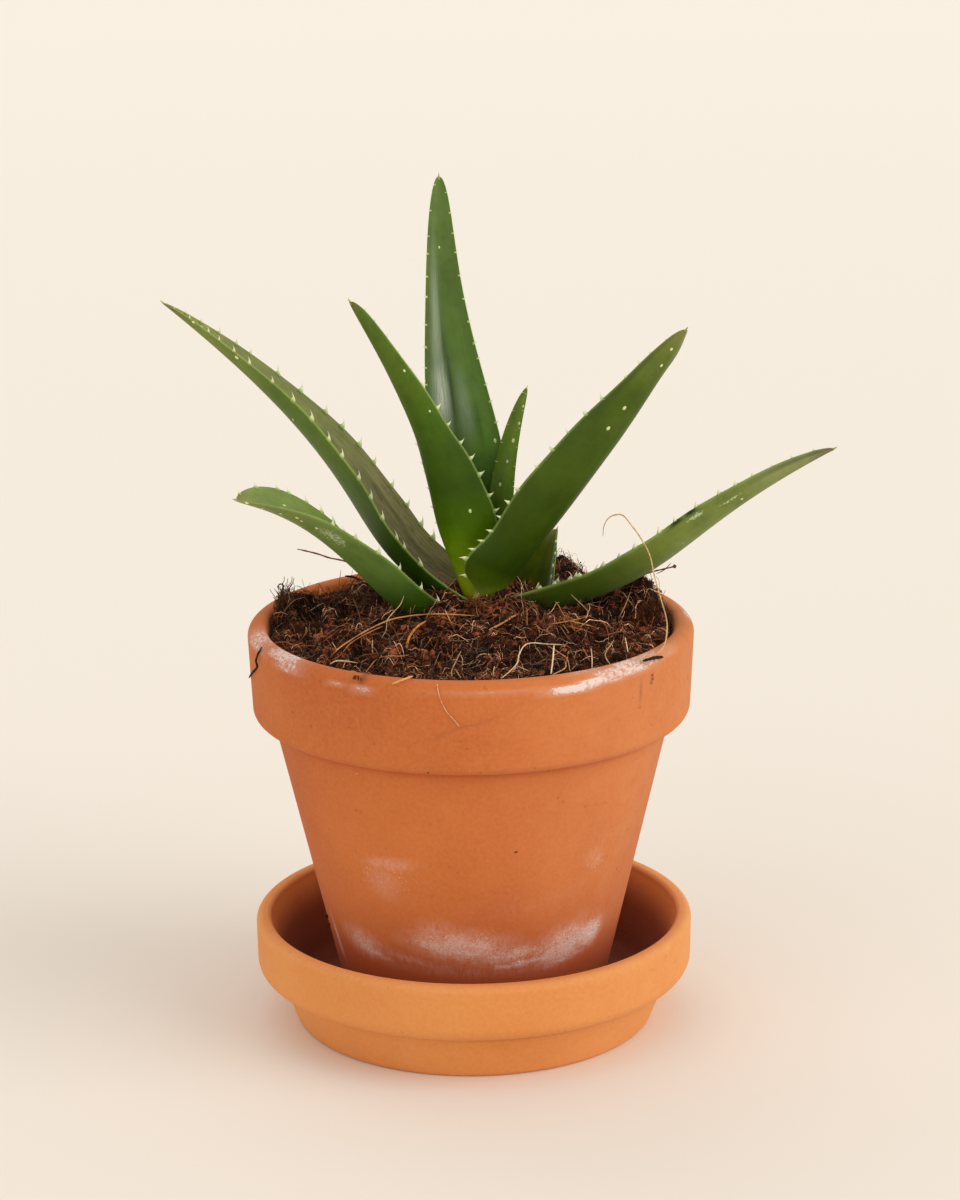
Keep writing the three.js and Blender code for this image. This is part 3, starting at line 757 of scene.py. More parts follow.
# Every leaf: rib, widths, faces, twist, channel, flesh and thorns as in the solid. back and face are
# tones at shares of the length. teeth are pixels of teeth on the edges +1 and -1; the rule fills the rest.
# Each swell widens one edge: edge, middle and reach in shares of the length, and millimetres.
# leafDefaults holds what a leaf doesn't say: marginShare is for the edges +1 and -1, hook for foot and tip.
leafDefaults = {
    "twist": (0, 0), "flesh": 0.2, "hook": (1, 1), "toothGap": 5.6, "toothRise": {}, "lastTooth": {},
    "teeth": {},
    "swell": [], "marginShare": (0.5, 0.5), "marginFrom": 0.975, "dryEdge": {}, "isMatt": False,
}
leafSettings = {
    "leaf_tall_back": {
        "rib": [(1.5, 14, 119), (1.5, 18, 172), (-8.5, 24, 184), (-8, 30, 246.5)],
        "widths": (13.5, 37, 8, 9),
        "faces": 94, "twist": (2, 4), "channel": 0.23, "flesh": 0.12, "thorns": 0.44, "toothGap": 6.4,
        "marginShare": (0.8, 0.8), "swell": [(1, 0.08, 0.12, -5.0)],
        "back": [(0, (62, 94, 28)), (0.5, (66, 96, 34)), (1, (86, 112, 46))],
        "face": [(0, (54, 92, 16)), (0.3, (66, 96, 30)), (0.5, (68, 93, 37)), (0.75, (77, 101, 44)),
                 (1, (92, 114, 54))],
        "spots": [(439, 247), (494, 441), (436, 410)],
    },
    "leaf_left_centre": {
        "rib": [(1, 6, 119), (-12, 3, 165), (-4, 0, 164), (-33.5, -3, 216)], "widths": (8, 34, 7, 7.5),
        "faces": -122, "twist": (0, -3), "channel": 0.38, "thorns": 0.85, "hook": (0.0, 1.1),
        "swell": [(1, 0.27, 0.13, 2.4), (1, 0.65, 0.1, -0.8), (-1, 0.09, 0.09, -3.0)],
        "toothRise": {-1: 0.2},
        "back": [(0, (180, 180, 66)), (0.07, (150, 166, 24)), (0.17, (108, 142, 2)), (0.28, (72, 104, 0)),
                 (0.42, (54, 80, 4)), (0.7, (66, 94, 12)), (0.975, (82, 102, 30)), (1, (104, 98, 52))],
        "face": [(0, (110, 140, 20)), (0.3, (56, 84, 14)), (1, (70, 92, 26))],
        "teeth": {
            1: [(436, 409), (448, 425), (461, 443), (474, 457), (484, 473), (496, 493), (503, 509)],
            -1: [(424, 474), (426, 491), (430, 509), (435, 525)],
        },
        "spots": [(430, 412), (470, 511), (404, 371)],
    },
    "leaf_left_long": {
        "rib": [(-3, 10, 121), (-42.5, 16, 144), (-19.5, 28, 151.5), (-90.5, 40, 208)],
        "widths": (19, 24, 23.5, 5.5),
        "faces": 160, "twist": (0, 12), "channel": 0.42, "thorns": 1, "dryEdge": {-1: (104, 96, 64)},
        "back": [(0, (48, 78, 8)), (0.2, (52, 80, 12)), (0.5, (74, 98, 26)), (0.8, (88, 112, 38)),
                 (0.95, (118, 132, 62)), (1, (128, 110, 76))],
        "face": [(0, (108, 102, 66)), (0.25, (118, 112, 74)), (0.5, (128, 124, 84)), (0.75, (120, 128, 76)),
                 (1, (136, 140, 84))],
        "teeth": {
            1: [(274, 380), (297, 397), (316, 416), (332, 437), (345, 454), (360, 478), (372, 497),
                (383, 518), (394, 541)],
            -1: [(282, 369), (303, 388), (328, 409), (343, 426), (361, 444), (376, 461), (394, 484),
                 (408, 505), (421, 525)],
        },
        "spots": [(182, 314), (193, 322), (201, 327), (217, 341), (236, 357), (294, 420), (361, 491)],
    },
    "leaf_left_low": {
        "rib": [(-6, 5, 117), (-23, 1, 114.5), (-35.5, -3, 151.5), (-67, -8, 159.5)],
        "widths": (14.5, 22, 24, 12.5), "faces": 221, "twist": (15, -29), "channel": 0.31, "thorns": 0.95,
        "back": [(0, (42, 64, 4)), (0.3, (56, 86, 16)), (0.55, (102, 130, 60)), (0.8, (120, 138, 74)),
                 (1, (132, 140, 84))],
        "face": [(0, (60, 86, 26)), (0.6, (100, 124, 58)), (0.97, (122, 138, 76)), (1, (130, 118, 80))],
        "teeth": {1: [(334, 523), (358, 535), (381, 549), (402, 566), (423, 586), (437, 603)]},
        "marginShare": (0.22, 0.22), "lastTooth": {1: 0.76},
        "spots": [(284, 505), (297, 517), (302, 521), (316, 529), (339, 536), (247, 503), (262, 508),
                  (281, 513)],
    },
    "leaf_right_front": {
        "rib": [(2.5, 3, 118.5), (24, -3, 153), (41, -9, 173), (61.5, -16, 209.5)],
        "widths": (9, 36, 17, 7),
        "faces": -50, "twist": (4, -8), "channel": 0.36, "thorns": 0.78, "hook": (-1.0, 1.7),
        "back": [(0, (206, 192, 104)), (0.06, (172, 174, 78)), (0.085, (122, 144, 46)),
                 (0.12, (74, 98, 12)), (0.165, (44, 64, 0)), (0.5, (66, 88, 16)), (0.8, (72, 92, 22)),
                 (0.95, (102, 114, 50)), (1, (128, 122, 74))],
        "face": [(0, (120, 130, 40)), (0.3, (60, 84, 20)), (1, (84, 106, 44))],
        "swell": [(-1, 0.15, 0.065, 6.4), (1, 0.93, 0.06, 1.3), (-1, 0.068, 0.036, -4.6),
                  (1, 0.08, 0.07, -7.6)],
        "marginShare": (0.5, 0.3), "dryEdge": {1: (150, 136, 100)},
        "teeth": {
            -1: [(652, 356), (638, 363), (625, 377), (600, 397), (583, 412), (565, 430), (551, 449),
                 (535, 465), (518, 490), (506, 501), (496, 515), (485, 527), (479, 538), (473, 550),
                 (468, 560)],
        },
        "spots": [(671, 349), (661, 366), (625, 408), (609, 429)],
    },
    "leaf_young_centre": {
        "rib": [(4, 11, 120), (10.5, 12, 145), (7.5, 14, 162.5), (17, 16, 186.5)],
        "widths": (8.5, 10, 6, 3.5),
        "faces": 80, "channel": 0.2, "thorns": 0.3, "toothGap": 5.2, "marginShare": (0.8, 0.8),
        "back": [(0, (80, 118, 20)), (1, (80, 104, 30))],
        "face": [(0, (80, 122, 12)), (0.4, (80, 110, 24)), (0.8, (90, 114, 34)), (1, (96, 112, 44))],
        "spots": [(523, 407), (519, 424), (513, 441), (508, 461), (500, 484)],
    },
    "leaf_right_short": {
        "rib": [(9, 15, 116), (25, 18, 118), (20.5, 22, 131.5), (26, 27, 141)], "widths": (13, 17, 15, 4.5),
        "faces": 45, "channel": 0.25, "thorns": 0.22, "toothGap": 5.2, "isMatt": True,
        "back": [(0, (60, 78, 10)), (1, (70, 86, 20))],
        "face": [(0, (64, 80, 6)), (0.5, (68, 82, 4)), (0.85, (80, 92, 16)), (1, (116, 116, 66))],
        "spots": [(556, 541), (555, 553), (553, 566), (551, 577)],
    },
    "leaf_right_long": {
        "rib": [(6, 6, 117.5), (65, 4, 129.5), (53, 3, 142.5), (105.5, 2, 170.5)],
        "widths": (20, 19.5, 17, 7),
        "faces": -18, "twist": (-7, -19), "channel": 0.37, "thorns": 1.0, "toothRise": {-1: 1.4},
        "hook": (0.5, 0.5), "marginShare": (0.85, 0.3), "marginFrom": 0.96,
        "dryEdge": {1: (170, 136, 104)},
        "back": [(0, (52, 66, 8)), (0.25, (64, 84, 20)), (0.5, (104, 120, 50)), (0.8, (116, 130, 64)),
                 (0.95, (134, 140, 94)), (1, (120, 98, 74))],
        "face": [(0, (44, 50, 14)), (0.5, (52, 64, 24)), (1, (84, 100, 46))],
        "teeth": {
            -1: [(571, 582), (579, 576), (601, 562), (618, 554), (634, 546), (658, 530), (672, 517),
                 (695, 504), (717, 490), (735, 483), (752, 475), (772, 466), (792, 459)],
        },
        "spots": [(742, 499)],
    },
}


def leafWidth(leaf, t):  # cubic blend of four widths, closed at the tip by sqrt(1 - t^11)
    a, b, c, d = leaf["widths"]
    s = 1 - t
    blend = a * s ** 3 + 3 * b * t * s ** 2 + 3 * c * t * t * s + d * t ** 3
    return blend * np.sqrt(np.maximum(0, 1 - t ** bladeSettings["tipClosing"]))


def leafFrame(leaf, t):
    # place on the rib's cubic curve with its forward, side and inward directions; side is level, square to
    # forward, and then turned by the twist
    rib = np.array(leaf["rib"], float)
    s = 1 - t[:, None]
    u = t[:, None]
    place = s ** 3 * rib[0] + 3 * s * s * u * rib[1] + 3 * s * u * u * rib[2] + u ** 3 * rib[3]
    forward = unit(s * s * (rib[1] - rib[0]) + 2 * s * u * (rib[2] - rib[1]) + u * u * (rib[3] - rib[2]))
    faces = math.radians(leaf["faces"])
    side = np.array([[-math.sin(faces), math.cos(faces), 0]])
    side = unit(side - np.sum(side * forward, axis=1, keepdims=True) * forward)
    inward = np.cross(forward, side)
    turn = np.radians(between(leaf["twist"], t))[:, None]
    across = side * np.cos(turn) + inward * np.sin(turn)
    return place, forward, across, inward * np.cos(turn) - side * np.sin(turn)


def leafPlaces(leaf, t, k, onFace):
    # place + side * (k * width / 2 + swell) + inward * (channel * width * k^2 + lift + ripple); lift is 0
    # on the back and rim + flesh * (1 - k^2) on the face, and both bend together into a round margin
    v = bladeSettings
    place, forward, side, inward = leafFrame(leaf, t)
    width = leafWidth(leaf, t)
    rim = v["marginThick"] * np.minimum(1, width / v["thinWidth"])
    flesh = np.maximum(0, leaf["flesh"] * width - rim)
    roundFrom = 1 - np.clip(rim / np.maximum(width, 1e-6), 0.02, 0.9)
    bent = np.clip((np.abs(k) - roundFrom) / (1 - roundFrom), 0, 1)
    bend = rim / 2 * (1 - np.sqrt(np.maximum(0, 1 - bent ** 2)))
    lift = np.where(onFace, rim + flesh * (1 - k * k) - bend, bend)
    phase = v["rippleTurn"] * t + 5 * leaf["flesh"] + 2 * k
    wave = v["ripple"] * np.sin(phase) * k * k * np.minimum(1, width / v["rippleWidth"])
    rise = leaf["channel"] * width * k * k + lift + wave
    swell = np.zeros(len(t))
    for edge, middle, reach, amount in leaf["swell"]:
        swell = swell + edge * amount * np.exp(-((t - middle) / reach) ** 2) * np.maximum(0, edge * k) ** 2
    places = place + side * (k * width / 2 + swell)[:, None] + inward * rise[:, None]
    return places, side, inward, forward, width


def alongTones(stops, t):  # tone at a share of the length, between stops of share and tone
    shares = [share for share, _ in stops]
    tones = np.array([paint(tone)[:3] for _, tone in stops])
    return np.stack([np.interp(t, shares, tones[:, i]) for i in range(3)], -1)


def bladeTints(leaf, t, k, onFace, seed):
    # back and face tones along the leaf, cloudy change, and a pale or dry line on each margin
    v = bladeSettings
    tint = np.where(onFace[:, None], alongTones(leaf["face"], t), alongTones(leaf["back"], t))
    cloud = softNoise(t * 60, k * 9 + onFace * 40, 7.0, seed)
    cloud = cloud + 0.5 * softNoise(t * 140, k * 22, 7.0, seed + 1)
    tint = tint * (1 + v["cloudShare"] * cloud[:, None])
    line = smoothStep(leaf["marginFrom"], 0.998, np.abs(k)) * np.where(k > 0, *leaf["marginShare"])
    margin = evenTint(v["marginTone"], len(t))
    for edge, tone in leaf["dryEdge"].items():
        margin[k * edge > 0] = paint(tone)[:3]
    return tint * (1 - line[:, None]) + margin * line[:, None]


def teethShares(leaf, edge):  # shares of the length where teeth stand: those seen, then one each gap
    v = toothSettings
    fine = np.linspace(0, 1, 800)
    places = leafPlaces(leaf, fine, np.full(len(fine), float(edge)), np.zeros(len(fine), bool))[0]
    onScreen = toPixels(places)
    seen = [np.argmin(np.linalg.norm(onScreen - pixel, axis=1)) for pixel in leaf["teeth"].get(edge, [])]
    seen = sorted(float(fine[number]) for number in seen)
    reach = np.concatenate([[0], np.cumsum(np.linalg.norm(np.diff(places, axis=0), axis=1))])
    draw = np.random.default_rng(int(reach[-1] * 10) + edge)
    gap = leaf["toothGap"]
    steps = np.arange(v["firstShare"] * reach[-1], v["lastShare"] * reach[-1], gap)
    steps = steps + draw.uniform(-v["shake"], v["shake"], len(steps)) * gap
    rule = np.interp(steps, reach, fine)
    rule = rule[rule < leaf["lastTooth"].get(edge, 1)]
    if seen:
        pad = gap * v["clear"] / reach[-1]
        rule = rule[(rule < seen[0] - pad) | (rule > seen[-1] + pad)]
    return np.sort(np.concatenate([rule, seen]))


def makeTeeth(leaf, edge):
    # hooked thorns that carry on the blade's slope at its margin:
    # centre = root + slope * out + forward * hook * s^2.6, ringed by an oval that shrinks to the tip
    t = teethShares(leaf, edge)
    v = toothSettings
    count = len(t)
    place, side, inward, forward, width = leafPlaces(
        leaf, t, np.full(count, float(edge)), np.zeros(count, bool))
    slope = unit(side * edge + inward * leaf["toothRise"].get(edge, v["rise"]) * leaf["channel"])
    flat = np.cross(forward, slope) * edge
    draw = np.random.default_rng(count * 7 + edge)
    size = leaf["thorns"] * np.minimum(1, v["leastSize"] + width / v["fullWidth"])
    size = (size * draw.uniform(*v["sizes"], count))[:, None, None]
    s = np.linspace(0, 1, v["rings"])[None, :, None]
    turn = roundAngles(v["sides"])[None, None]
    out = -v["sunk"] + (v["sunk"] + v["length"] * size) * s
    hook = np.interp(t, (0, 1), leaf["hook"])[:, None, None]
    lean = hook * v["hook"] * size * s ** 2.6 * draw.uniform(*v["leans"], (count, 1, 1))
    shrink = (1 - s) ** 1.3 + v["bluntness"]
    ahead = lean + v["halfBase"] * size * shrink * np.cos(turn)
    above = v["halfThick"] * np.maximum(size, 0.55) * shrink ** 0.8 * np.sin(turn)
    points = (place[:, None, None] + slope[:, None, None] * out[..., None] + inward[:, None, None] * 0.3
              + forward[:, None, None] * ahead[..., None]
              + flat[:, None, None] * (above * np.ones_like(ahead))[..., None])
    share = (smoothStep(0.1, 0.55, s) * np.ones_like(ahead)).reshape(-1, 1)
    tints = blendTones(v["rootTone"], v["tipTone"], share)
    return points.reshape(-1, 3), tubeFaces(count, v["rings"], v["sides"], -edge), tints


def makeTipSpine(leaf):  # a dry point that carries on the rib past the blade's blunt end and thins
    v = tipSettings
    place, forward, _, inward = leafFrame(leaf, np.array([v["start"], 1.0]))
    reach = np.linalg.norm(place[1] - place[0]) + v["length"]
    s = np.linspace(0, 1, v["steps"])
    path = place[0] + forward[1] * (reach * s)[:, None] + inward[1] * 0.3
    radii = v["radius"] * np.minimum(1, leaf["widths"][3] / v["fullWidth"]) * (1 - s ** 1.5 * 0.92)
    points, blocks = manyTubes(path[None], radii[None], v["sides"])
    return points, blocks, evenTint(v["tone"], len(points))


def makeSpots(leaf, grid, normals):
    # raised pale dots: flat domes on the blade's surface, at the visible point nearest to each pixel
    v = spotSettings
    flat, normals = grid.reshape(-1, 3), normals.reshape(-1, 3)
    onScreen = toPixels(flat)
    isHidden = ~((normals @ viewForward) < -0.05)
    picks = [np.argmin(np.linalg.norm(onScreen - pixel, axis=1) + 1e3 * isHidden)
             for pixel in leaf["spots"]]
    centre, up = flat[picks], normals[picks]
    east = unit(np.cross(np.gradient(grid, axis=0).reshape(-1, 3)[picks], up))
    north = np.cross(up, east) * v["stretch"]
    turn = roundAngles(v["sides"])[None, None, :, None]
    levels = np.array(v["levels"])[None, :, :, None, None]
    draw = np.random.default_rng(len(picks) + 31)
    size = v["radius"] * draw.uniform(*v["sizes"], len(picks))[:, None, None, None]
    around = np.cos(turn) * east[:, None, None] + np.sin(turn) * north[:, None, None]
    points = (centre[:, None, None] + size * levels[:, :, 0] * around
              + up[:, None, None] * (v["rise"] * levels[:, :, 1]) * (size / v["radius"])).reshape(-1, 3)
    walls, feet, tops = tubeFaces(len(picks), len(v["levels"]), v["sides"])
    return points, [walls, tops, feet], evenTint(v["tone"], len(points))


skinSettings = {
    "mottleScale": 110.0, "blotchScale": 460.0, "poreScale": 900.0, "scratchScale": 1200.0,
    "lighter": (1.22, 1.2, 1.12), "darker": (0.82, 0.85, 0.8),
    "bloomAndSheenTone": (186, 194, 178), "crackTone": (58, 50, 28), "grooveShadeTone": (28, 44, 14),
    "scratchTone": (196, 210, 168),
}


def makeLeafSkin(name, gloss):
    # mottled, blotched and pored green, with lines along the leaf where it is dry, and waxy bloom with
    # painted sheen, cracks, painted shade in grooves, and scratches where the marks on the mesh are strong
    v = skinSettings
    material, tree = newTree(name)
    lines = placeGroup(tree, longFibres, {"Across Scale": 9.0, "Along Scale": 5.0}).outputs
    where = onObject(tree)
    mottle = noiseOn(tree, where, v["mottleScale"], 4.0)
    blotch = noiseOn(tree, where, v["blotchScale"], 3.0, 0.6)
    pores = noiseOn(tree, where, v["poreScale"], 2.0)
    tint = attribute(tree, "tint", "Color")
    lighter, darker = scaled(tree, tint, v["lighter"]), scaled(tree, tint, v["darker"])
    fibre = spread(tree, attribute(tree, "husk"), 0.0, 1.0, 0.22, 0.75)
    share = addNode(tree, "ShaderNodeMix", {"Factor": fibre}, data_type="FLOAT")
    plug(tree, share.inputs[2], mottle)
    plug(tree, share.inputs[3], lines["Lines"])
    crack = times(tree, attribute(tree, "husk"), spread(tree, lines["Fine"], 0.36, 0.48, 1.0, 0.0))
    rubbed = plus(tree, attribute(tree, "fleck"), noiseOn(tree, where, v["scratchScale"], 3.0, 0.7))
    colour = mixTones(tree, spread(tree, share.outputs[0], 0.36, 0.64), darker, lighter)
    for mask, tone in (
            (spread(tree, blotch, 0.42, 0.7, 0.0, 0.45), lighter),
            (spread(tree, blotch, 0.42, 0.28, 0.0, 0.35), darker),
            (spread(tree, pores, 0.6, 0.72, 0.0, 0.18), lighter),
            # waxy bloom and painted sheen: pale where the bloom mark is strong
            (times(tree, attribute(tree, "bloom"), spread(tree, lines["Fine"], 0.3, 0.62, 0.5, 1.0)),
             paint(v["bloomAndSheenTone"])),
            (times(tree, crack, 0.6), paint(v["crackTone"])),
            # painted shade: dark lines in folds and slits where the groove mark is strong
            (attribute(tree, "grooveShade"), paint(v["grooveShadeTone"])),
            (times(tree, spread(tree, rubbed, 1.08, 1.2), 0.8), paint(v["scratchTone"]))):
        colour = mixTones(tree, mask, colour, tone)
    height = plus(tree, times(tree, share.outputs[0], 0.9), times(tree, pores, 0.12))
    finishMaterial(tree, {
        "Base Color": colour, "Roughness": spread(tree, mottle, 0.3, 0.7, 0.4, 0.56),
        "Specular IOR Level": gloss, "Subsurface Weight": 0.1,
        "Subsurface Radius": (0.6, 1.0, 0.2), "Subsurface Scale": 0.002,
    }, height, bumpDistance=0.14, bumpStrength=0.5)
    return material


# soft ovals on a leaf: mark, face 1 or back 0, middle and reach along, middle and reach across, strength
# bloom marks are waxy bloom and painted sheen
# groove marks are painted shade in folds and slits
# light marks are painted light: they brighten the tint where a leaf turns from the light
markSettings = {
    "leaf_tall_back": [
        # painted sheen on the face's left panel, with waxy bloom
        ("bloom", 1, 0.55, 0.09, 0.45, 0.25, 1.0), ("bloom", 1, 0.7, 0.16, 0.5, 0.2, 0.5),
        ("bloom", 1, 0.5, 0.09, -0.2, 0.2, 0.32), ("grooveShade", 1, 0.56, 0.1, 0.1, 0.06, 0.75),
        ("grooveShade", 1, 0.66, 0.08, 0.2, 0.04, 0.6), ("grooveShade", 1, 0.44, 0.05, -0.5, 0.06, 0.4),
        # painted light on the channel's side that turns from the light
        ("light", 1, 0.45, 0.25, -0.55, 0.5, 0.8),
    ],
    "leaf_left_long": [
        ("husk", 1, 0.3, 0.55, 0.0, 1.2, 1.0), ("grooveShade", 1, 0.42, 0.16, -0.6, 0.05, 0.6),
        ("grooveShade", 1, 0.22, 0.13, -0.52, 0.07, 0.55), ("light", 1, 0.25, 0.3, -0.7, 0.3, 0.3),
    # painted light on the face's far side
    ],
    "leaf_left_low": [("fleck", 0, 0.7, 0.09, 0.72, 0.28, 0.68), ("fleck", 1, 0.8, 0.15, 0.0, 0.8, 0.4)],
    "leaf_right_long": [
        ("fleck", 0, 0.665, 0.06, -0.84, 0.1, 0.74), ("fleck", 0, 0.77, 0.06, -0.68, 0.08, 0.76),
        ("fleck", 0, 0.5, 0.3, -0.2, 0.6, 0.46), ("grooveShade", 0, 0.606, 0.03, -0.985, 0.05, 1.0),
        ("grooveShade", 0, 0.66, 0.024, -0.985, 0.045, 1.0), ("grooveShade", 0, 0.93, 0.09, -0.9, 0.12, 0.5),
        ("bloom", 0, 0.5, 0.3, 0.2, 0.5, 0.16),
    ],
    "leaf_right_front": [
        ("fleck", 0, 0.62, 0.25, 0.6, 0.3, 0.46), ("bloom", 0, 0.8, 0.34, 0.88, 0.12, 0.36),
        ("bloom", 0, 0.45, 0.22, 0.72, 0.2, 0.16), ("grooveShade", 0, 0.86, 0.14, -0.94, 0.08, 0.4),
    ],
    "leaf_left_centre": [("fleck", 0, 0.5, 0.4, 0.0, 0.8, 0.36), ("bloom", 0, 0.75, 0.2, -0.7, 0.2, 0.12)],
    # painted highlight stripe near the edge, with waxy bloom
    "leaf_right_short": [("bloom", 1, 0.6, 0.5, -0.84, 0.12, 0.45),
                         ("grooveShade", 1, 0.5, 0.5, -0.1, 0.16, 0.3)],
    # painted light on the young leaf's face
    "leaf_young_centre": [("light", 1, 0.5, 0.5, -0.5, 0.6, 0.35)],
}


def leafMarks(name, t, k, onFace):  # the greatest of each mark's ovals exp(-|u|^2.5 - |v|^2.5)
    marks = {label: np.zeros(len(t)) for label in ("bloom", "husk", "grooveShade", "fleck", "light")}
    for label, face, middle, reach, across, wide, strength in markSettings.get(name, []):
        oval = np.exp(-np.abs((t - middle) / reach) ** 2.5 - np.abs((k - across) / wide) ** 2.5)
        # the painted groove shade runs out to the margin
        fade = 1 if label == "grooveShade" else smoothStep(1, 0.93, np.abs(k))
        marks[label] = np.maximum(marks[label], strength * oval * (onFace == bool(face)) * fade)
    return marks


def makeLeaf(name, leaf, skin, seed):
    v = bladeSettings
    rings, sides = v["rings"], v["sides"]
    t = v["lastRing"] * (1 - (1 - np.arange(rings) / (rings - 1)) ** v["crowding"])
    angle = roundAngles(sides)
    tAll, kAll, onFace = np.repeat(t, sides), np.tile(-np.cos(angle), rings), np.tile(angle > np.pi, rings)
    grid = leafPlaces(leaf, tAll, kAll, onFace)[0].reshape(rings, sides, 3)
    place, ahead, _, inward = leafFrame(leaf, np.array([0.0, 1.0]))
    start = place[0] - v["rootCap"] * ahead[0] + inward[0] * leaf["flesh"] * leaf["widths"][0] / 2
    points, blocks = closedBody(grid, start, place[1])
    around = np.roll(grid, -1, 1) - np.roll(grid, 1, 1)
    normals = unit(np.cross(around, np.gradient(grid, axis=0)), 1e-12)
    outward = np.sign(np.sum(normals * (grid - grid.mean(1, keepdims=True)), axis=(1, 2)))
    normals *= np.sign(outward.sum())
    marks = leafMarks(name, tAll, kAll, onFace)
    # painted light: the light mark brightens the tint by up to its strength
    tints = bladeTints(leaf, tAll, kAll, onFace, seed) * (1 + marks.pop("light"))[:, None]
    points, blocks, tints = joined([
        (points, blocks, np.vstack([tints, tints[:1], tints[-1:]])),
        makeTeeth(leaf, 1), makeTeeth(leaf, -1), makeSpots(leaf, grid, normals), makeTipSpine(leaf),
    ])
    masks = {"along": tAll, "across": kAll, "inside": onFace.astype(float), **marks}
    padded = {label: np.pad(values, (0, len(points) - len(values))) for label, values in masks.items()}
    piece = makePiece(f"{name}_blade", points, blocks, skin, {"tint": tints, **padded})
    settle(piece, "leaf", name)


aloeSkin = makeLeafSkin("aloeSkin", 0.16)
mattSkin = makeLeafSkin("aloeSkinMatt", 0.03)
for number, (leafName, leafRow) in enumerate(leafSettings.items()):
    leafData = {**leafDefaults, **leafRow}
    makeLeaf(leafName, leafData, mattSkin if leafData["isMatt"] else aloeSkin, 11 + 3 * number)
print("leaves are made")

soilSettings = {
    "edgeLevel": 117.2, "moundRise": 8, "moundSpread": 26, "crown": (2, 9), "lumpCount": 46, "lumpSeed": 7,
    "lumpReach": 54, "lumpRise": (-1.7, 2.7), "lumpSpread": (3, 6.5),
    "clumps": [(-51, 12, 7, 6), (49, 14, 9, 6), (27, 42, 8, 6), (-22, 41, 4, 7), (10, 4, 5, 4.5),
               (-9, 2, 3, 4)],
    "radius": 58.1, "floorRadius": 29.7, "kneeRadius": 33.2, "floorLevel": 13.3, "kneeLevel": 16.3,
    "rings": 130, "turns": 400, "wallRings": 12, "relief": [(4.6, 1.5, 5), (2.3, 1.3, 6), (1.2, 0.8, 8)],
    "reliefFade": (58.4, 55), "shade": (0.3, 1.35, -1.3, 1.7), "hairReach": 57, "hairEdge": 57.7,
    "tuftEdge": 57.6,
    "firstGuess": 122.0, "soilEdge": 58, "onLip": 120.9, "earth": (26, 13, 8), "earthLight": (84, 49, 31),
}
crumbSettings = {
    "count": 8000, "seed": 41, "reach": 57.4, "size": (0.22, 1.15), "squash": (0.3, 1.7),
    "lift": (-0.3, 0.6), "shake": (0.6, 1.3), "dark": (28, 13, 8), "light": (142, 80, 51),
    "floorRing": (41, 50), "floorSize": (0.25, 0.6), "floorLevel": 5.0, "kneeRadius": 49, "kneeSlope": 0.9,
}
# coir hairs by kind: length and thickness in millimetres, lift over the soil, and the share that stands up
hairKinds = {
    "soilFuzz": {
        "count": 6000, "steps": 6, "length": (2, 7), "thick": (0.05, 0.1), "curl": 1.6, "lift": (-0.3, 1.3),
        "arch": 1.6, "stands": 0.3, "rise": (1.0, 3.4), "seed": 52,
        "tones": [(36, 18, 12), (112, 61, 38), (178, 112, 74), (242, 198, 158)],
        "shares": [0.42, 0.28, 0.18, 0.12],
    },
    "soilFibres": {
        "count": 3400, "steps": 8, "length": (4, 14), "thick": (0.06, 0.13), "curl": 0.9,
        "lift": (-0.3, 1.0), "arch": 2.6, "stands": 0.1, "rise": (2.0, 6.0), "seed": 53,
        "tones": [(42, 22, 14), (124, 67, 40), (190, 117, 75), (246, 204, 166)],
        "shares": [0.42, 0.28, 0.18, 0.12],
    },
    "soilStraws": {
        "count": 200, "steps": 8, "length": (5, 13), "thick": (0.12, 0.26), "curl": 0.5, "lift": (0.1, 1.2),
        "arch": 1.0, "stands": 0.2, "rise": (1.0, 5.0), "seed": 54,
        "tones": [(96, 52, 31), (160, 94, 56), (206, 144, 98), (232, 188, 146)],
        "shares": [0.3, 0.34, 0.24, 0.12],
    },
}
tuftSettings = [  # pixel of the foot, hairs, height and spread in millimetres, tone
    (285, 620, 250, 10, 2.5, (100, 64, 40)), (298, 632, 110, 6, 2.8, (96, 58, 34)),
    (274, 634, 90, 5, 3, (110, 66, 40)), (277, 650, 80, 3.6, 3.2, (98, 56, 36)),
    (304, 664, 70, 3, 4, (104, 62, 40)), (670, 650, 70, 3, 3, (106, 62, 40)),
    (356, 600, 90, 6, 5, (100, 62, 38)), (655, 604, 170, 8, 5, (90, 50, 30)),
    (640, 622, 110, 6, 4, (96, 54, 32)), (476, 610, 130, 6, 3.2, (138, 84, 44)),
    (506, 606, 80, 5, 2.4, (70, 40, 24)), (428, 612, 60, 4, 3, (92, 54, 32)),
    (672, 632, 60, 4, 2, (110, 68, 40)), (562, 590, 50, 4, 3, (80, 46, 28)),
    (570, 622, 60, 4, 4, (176, 120, 74)),
]
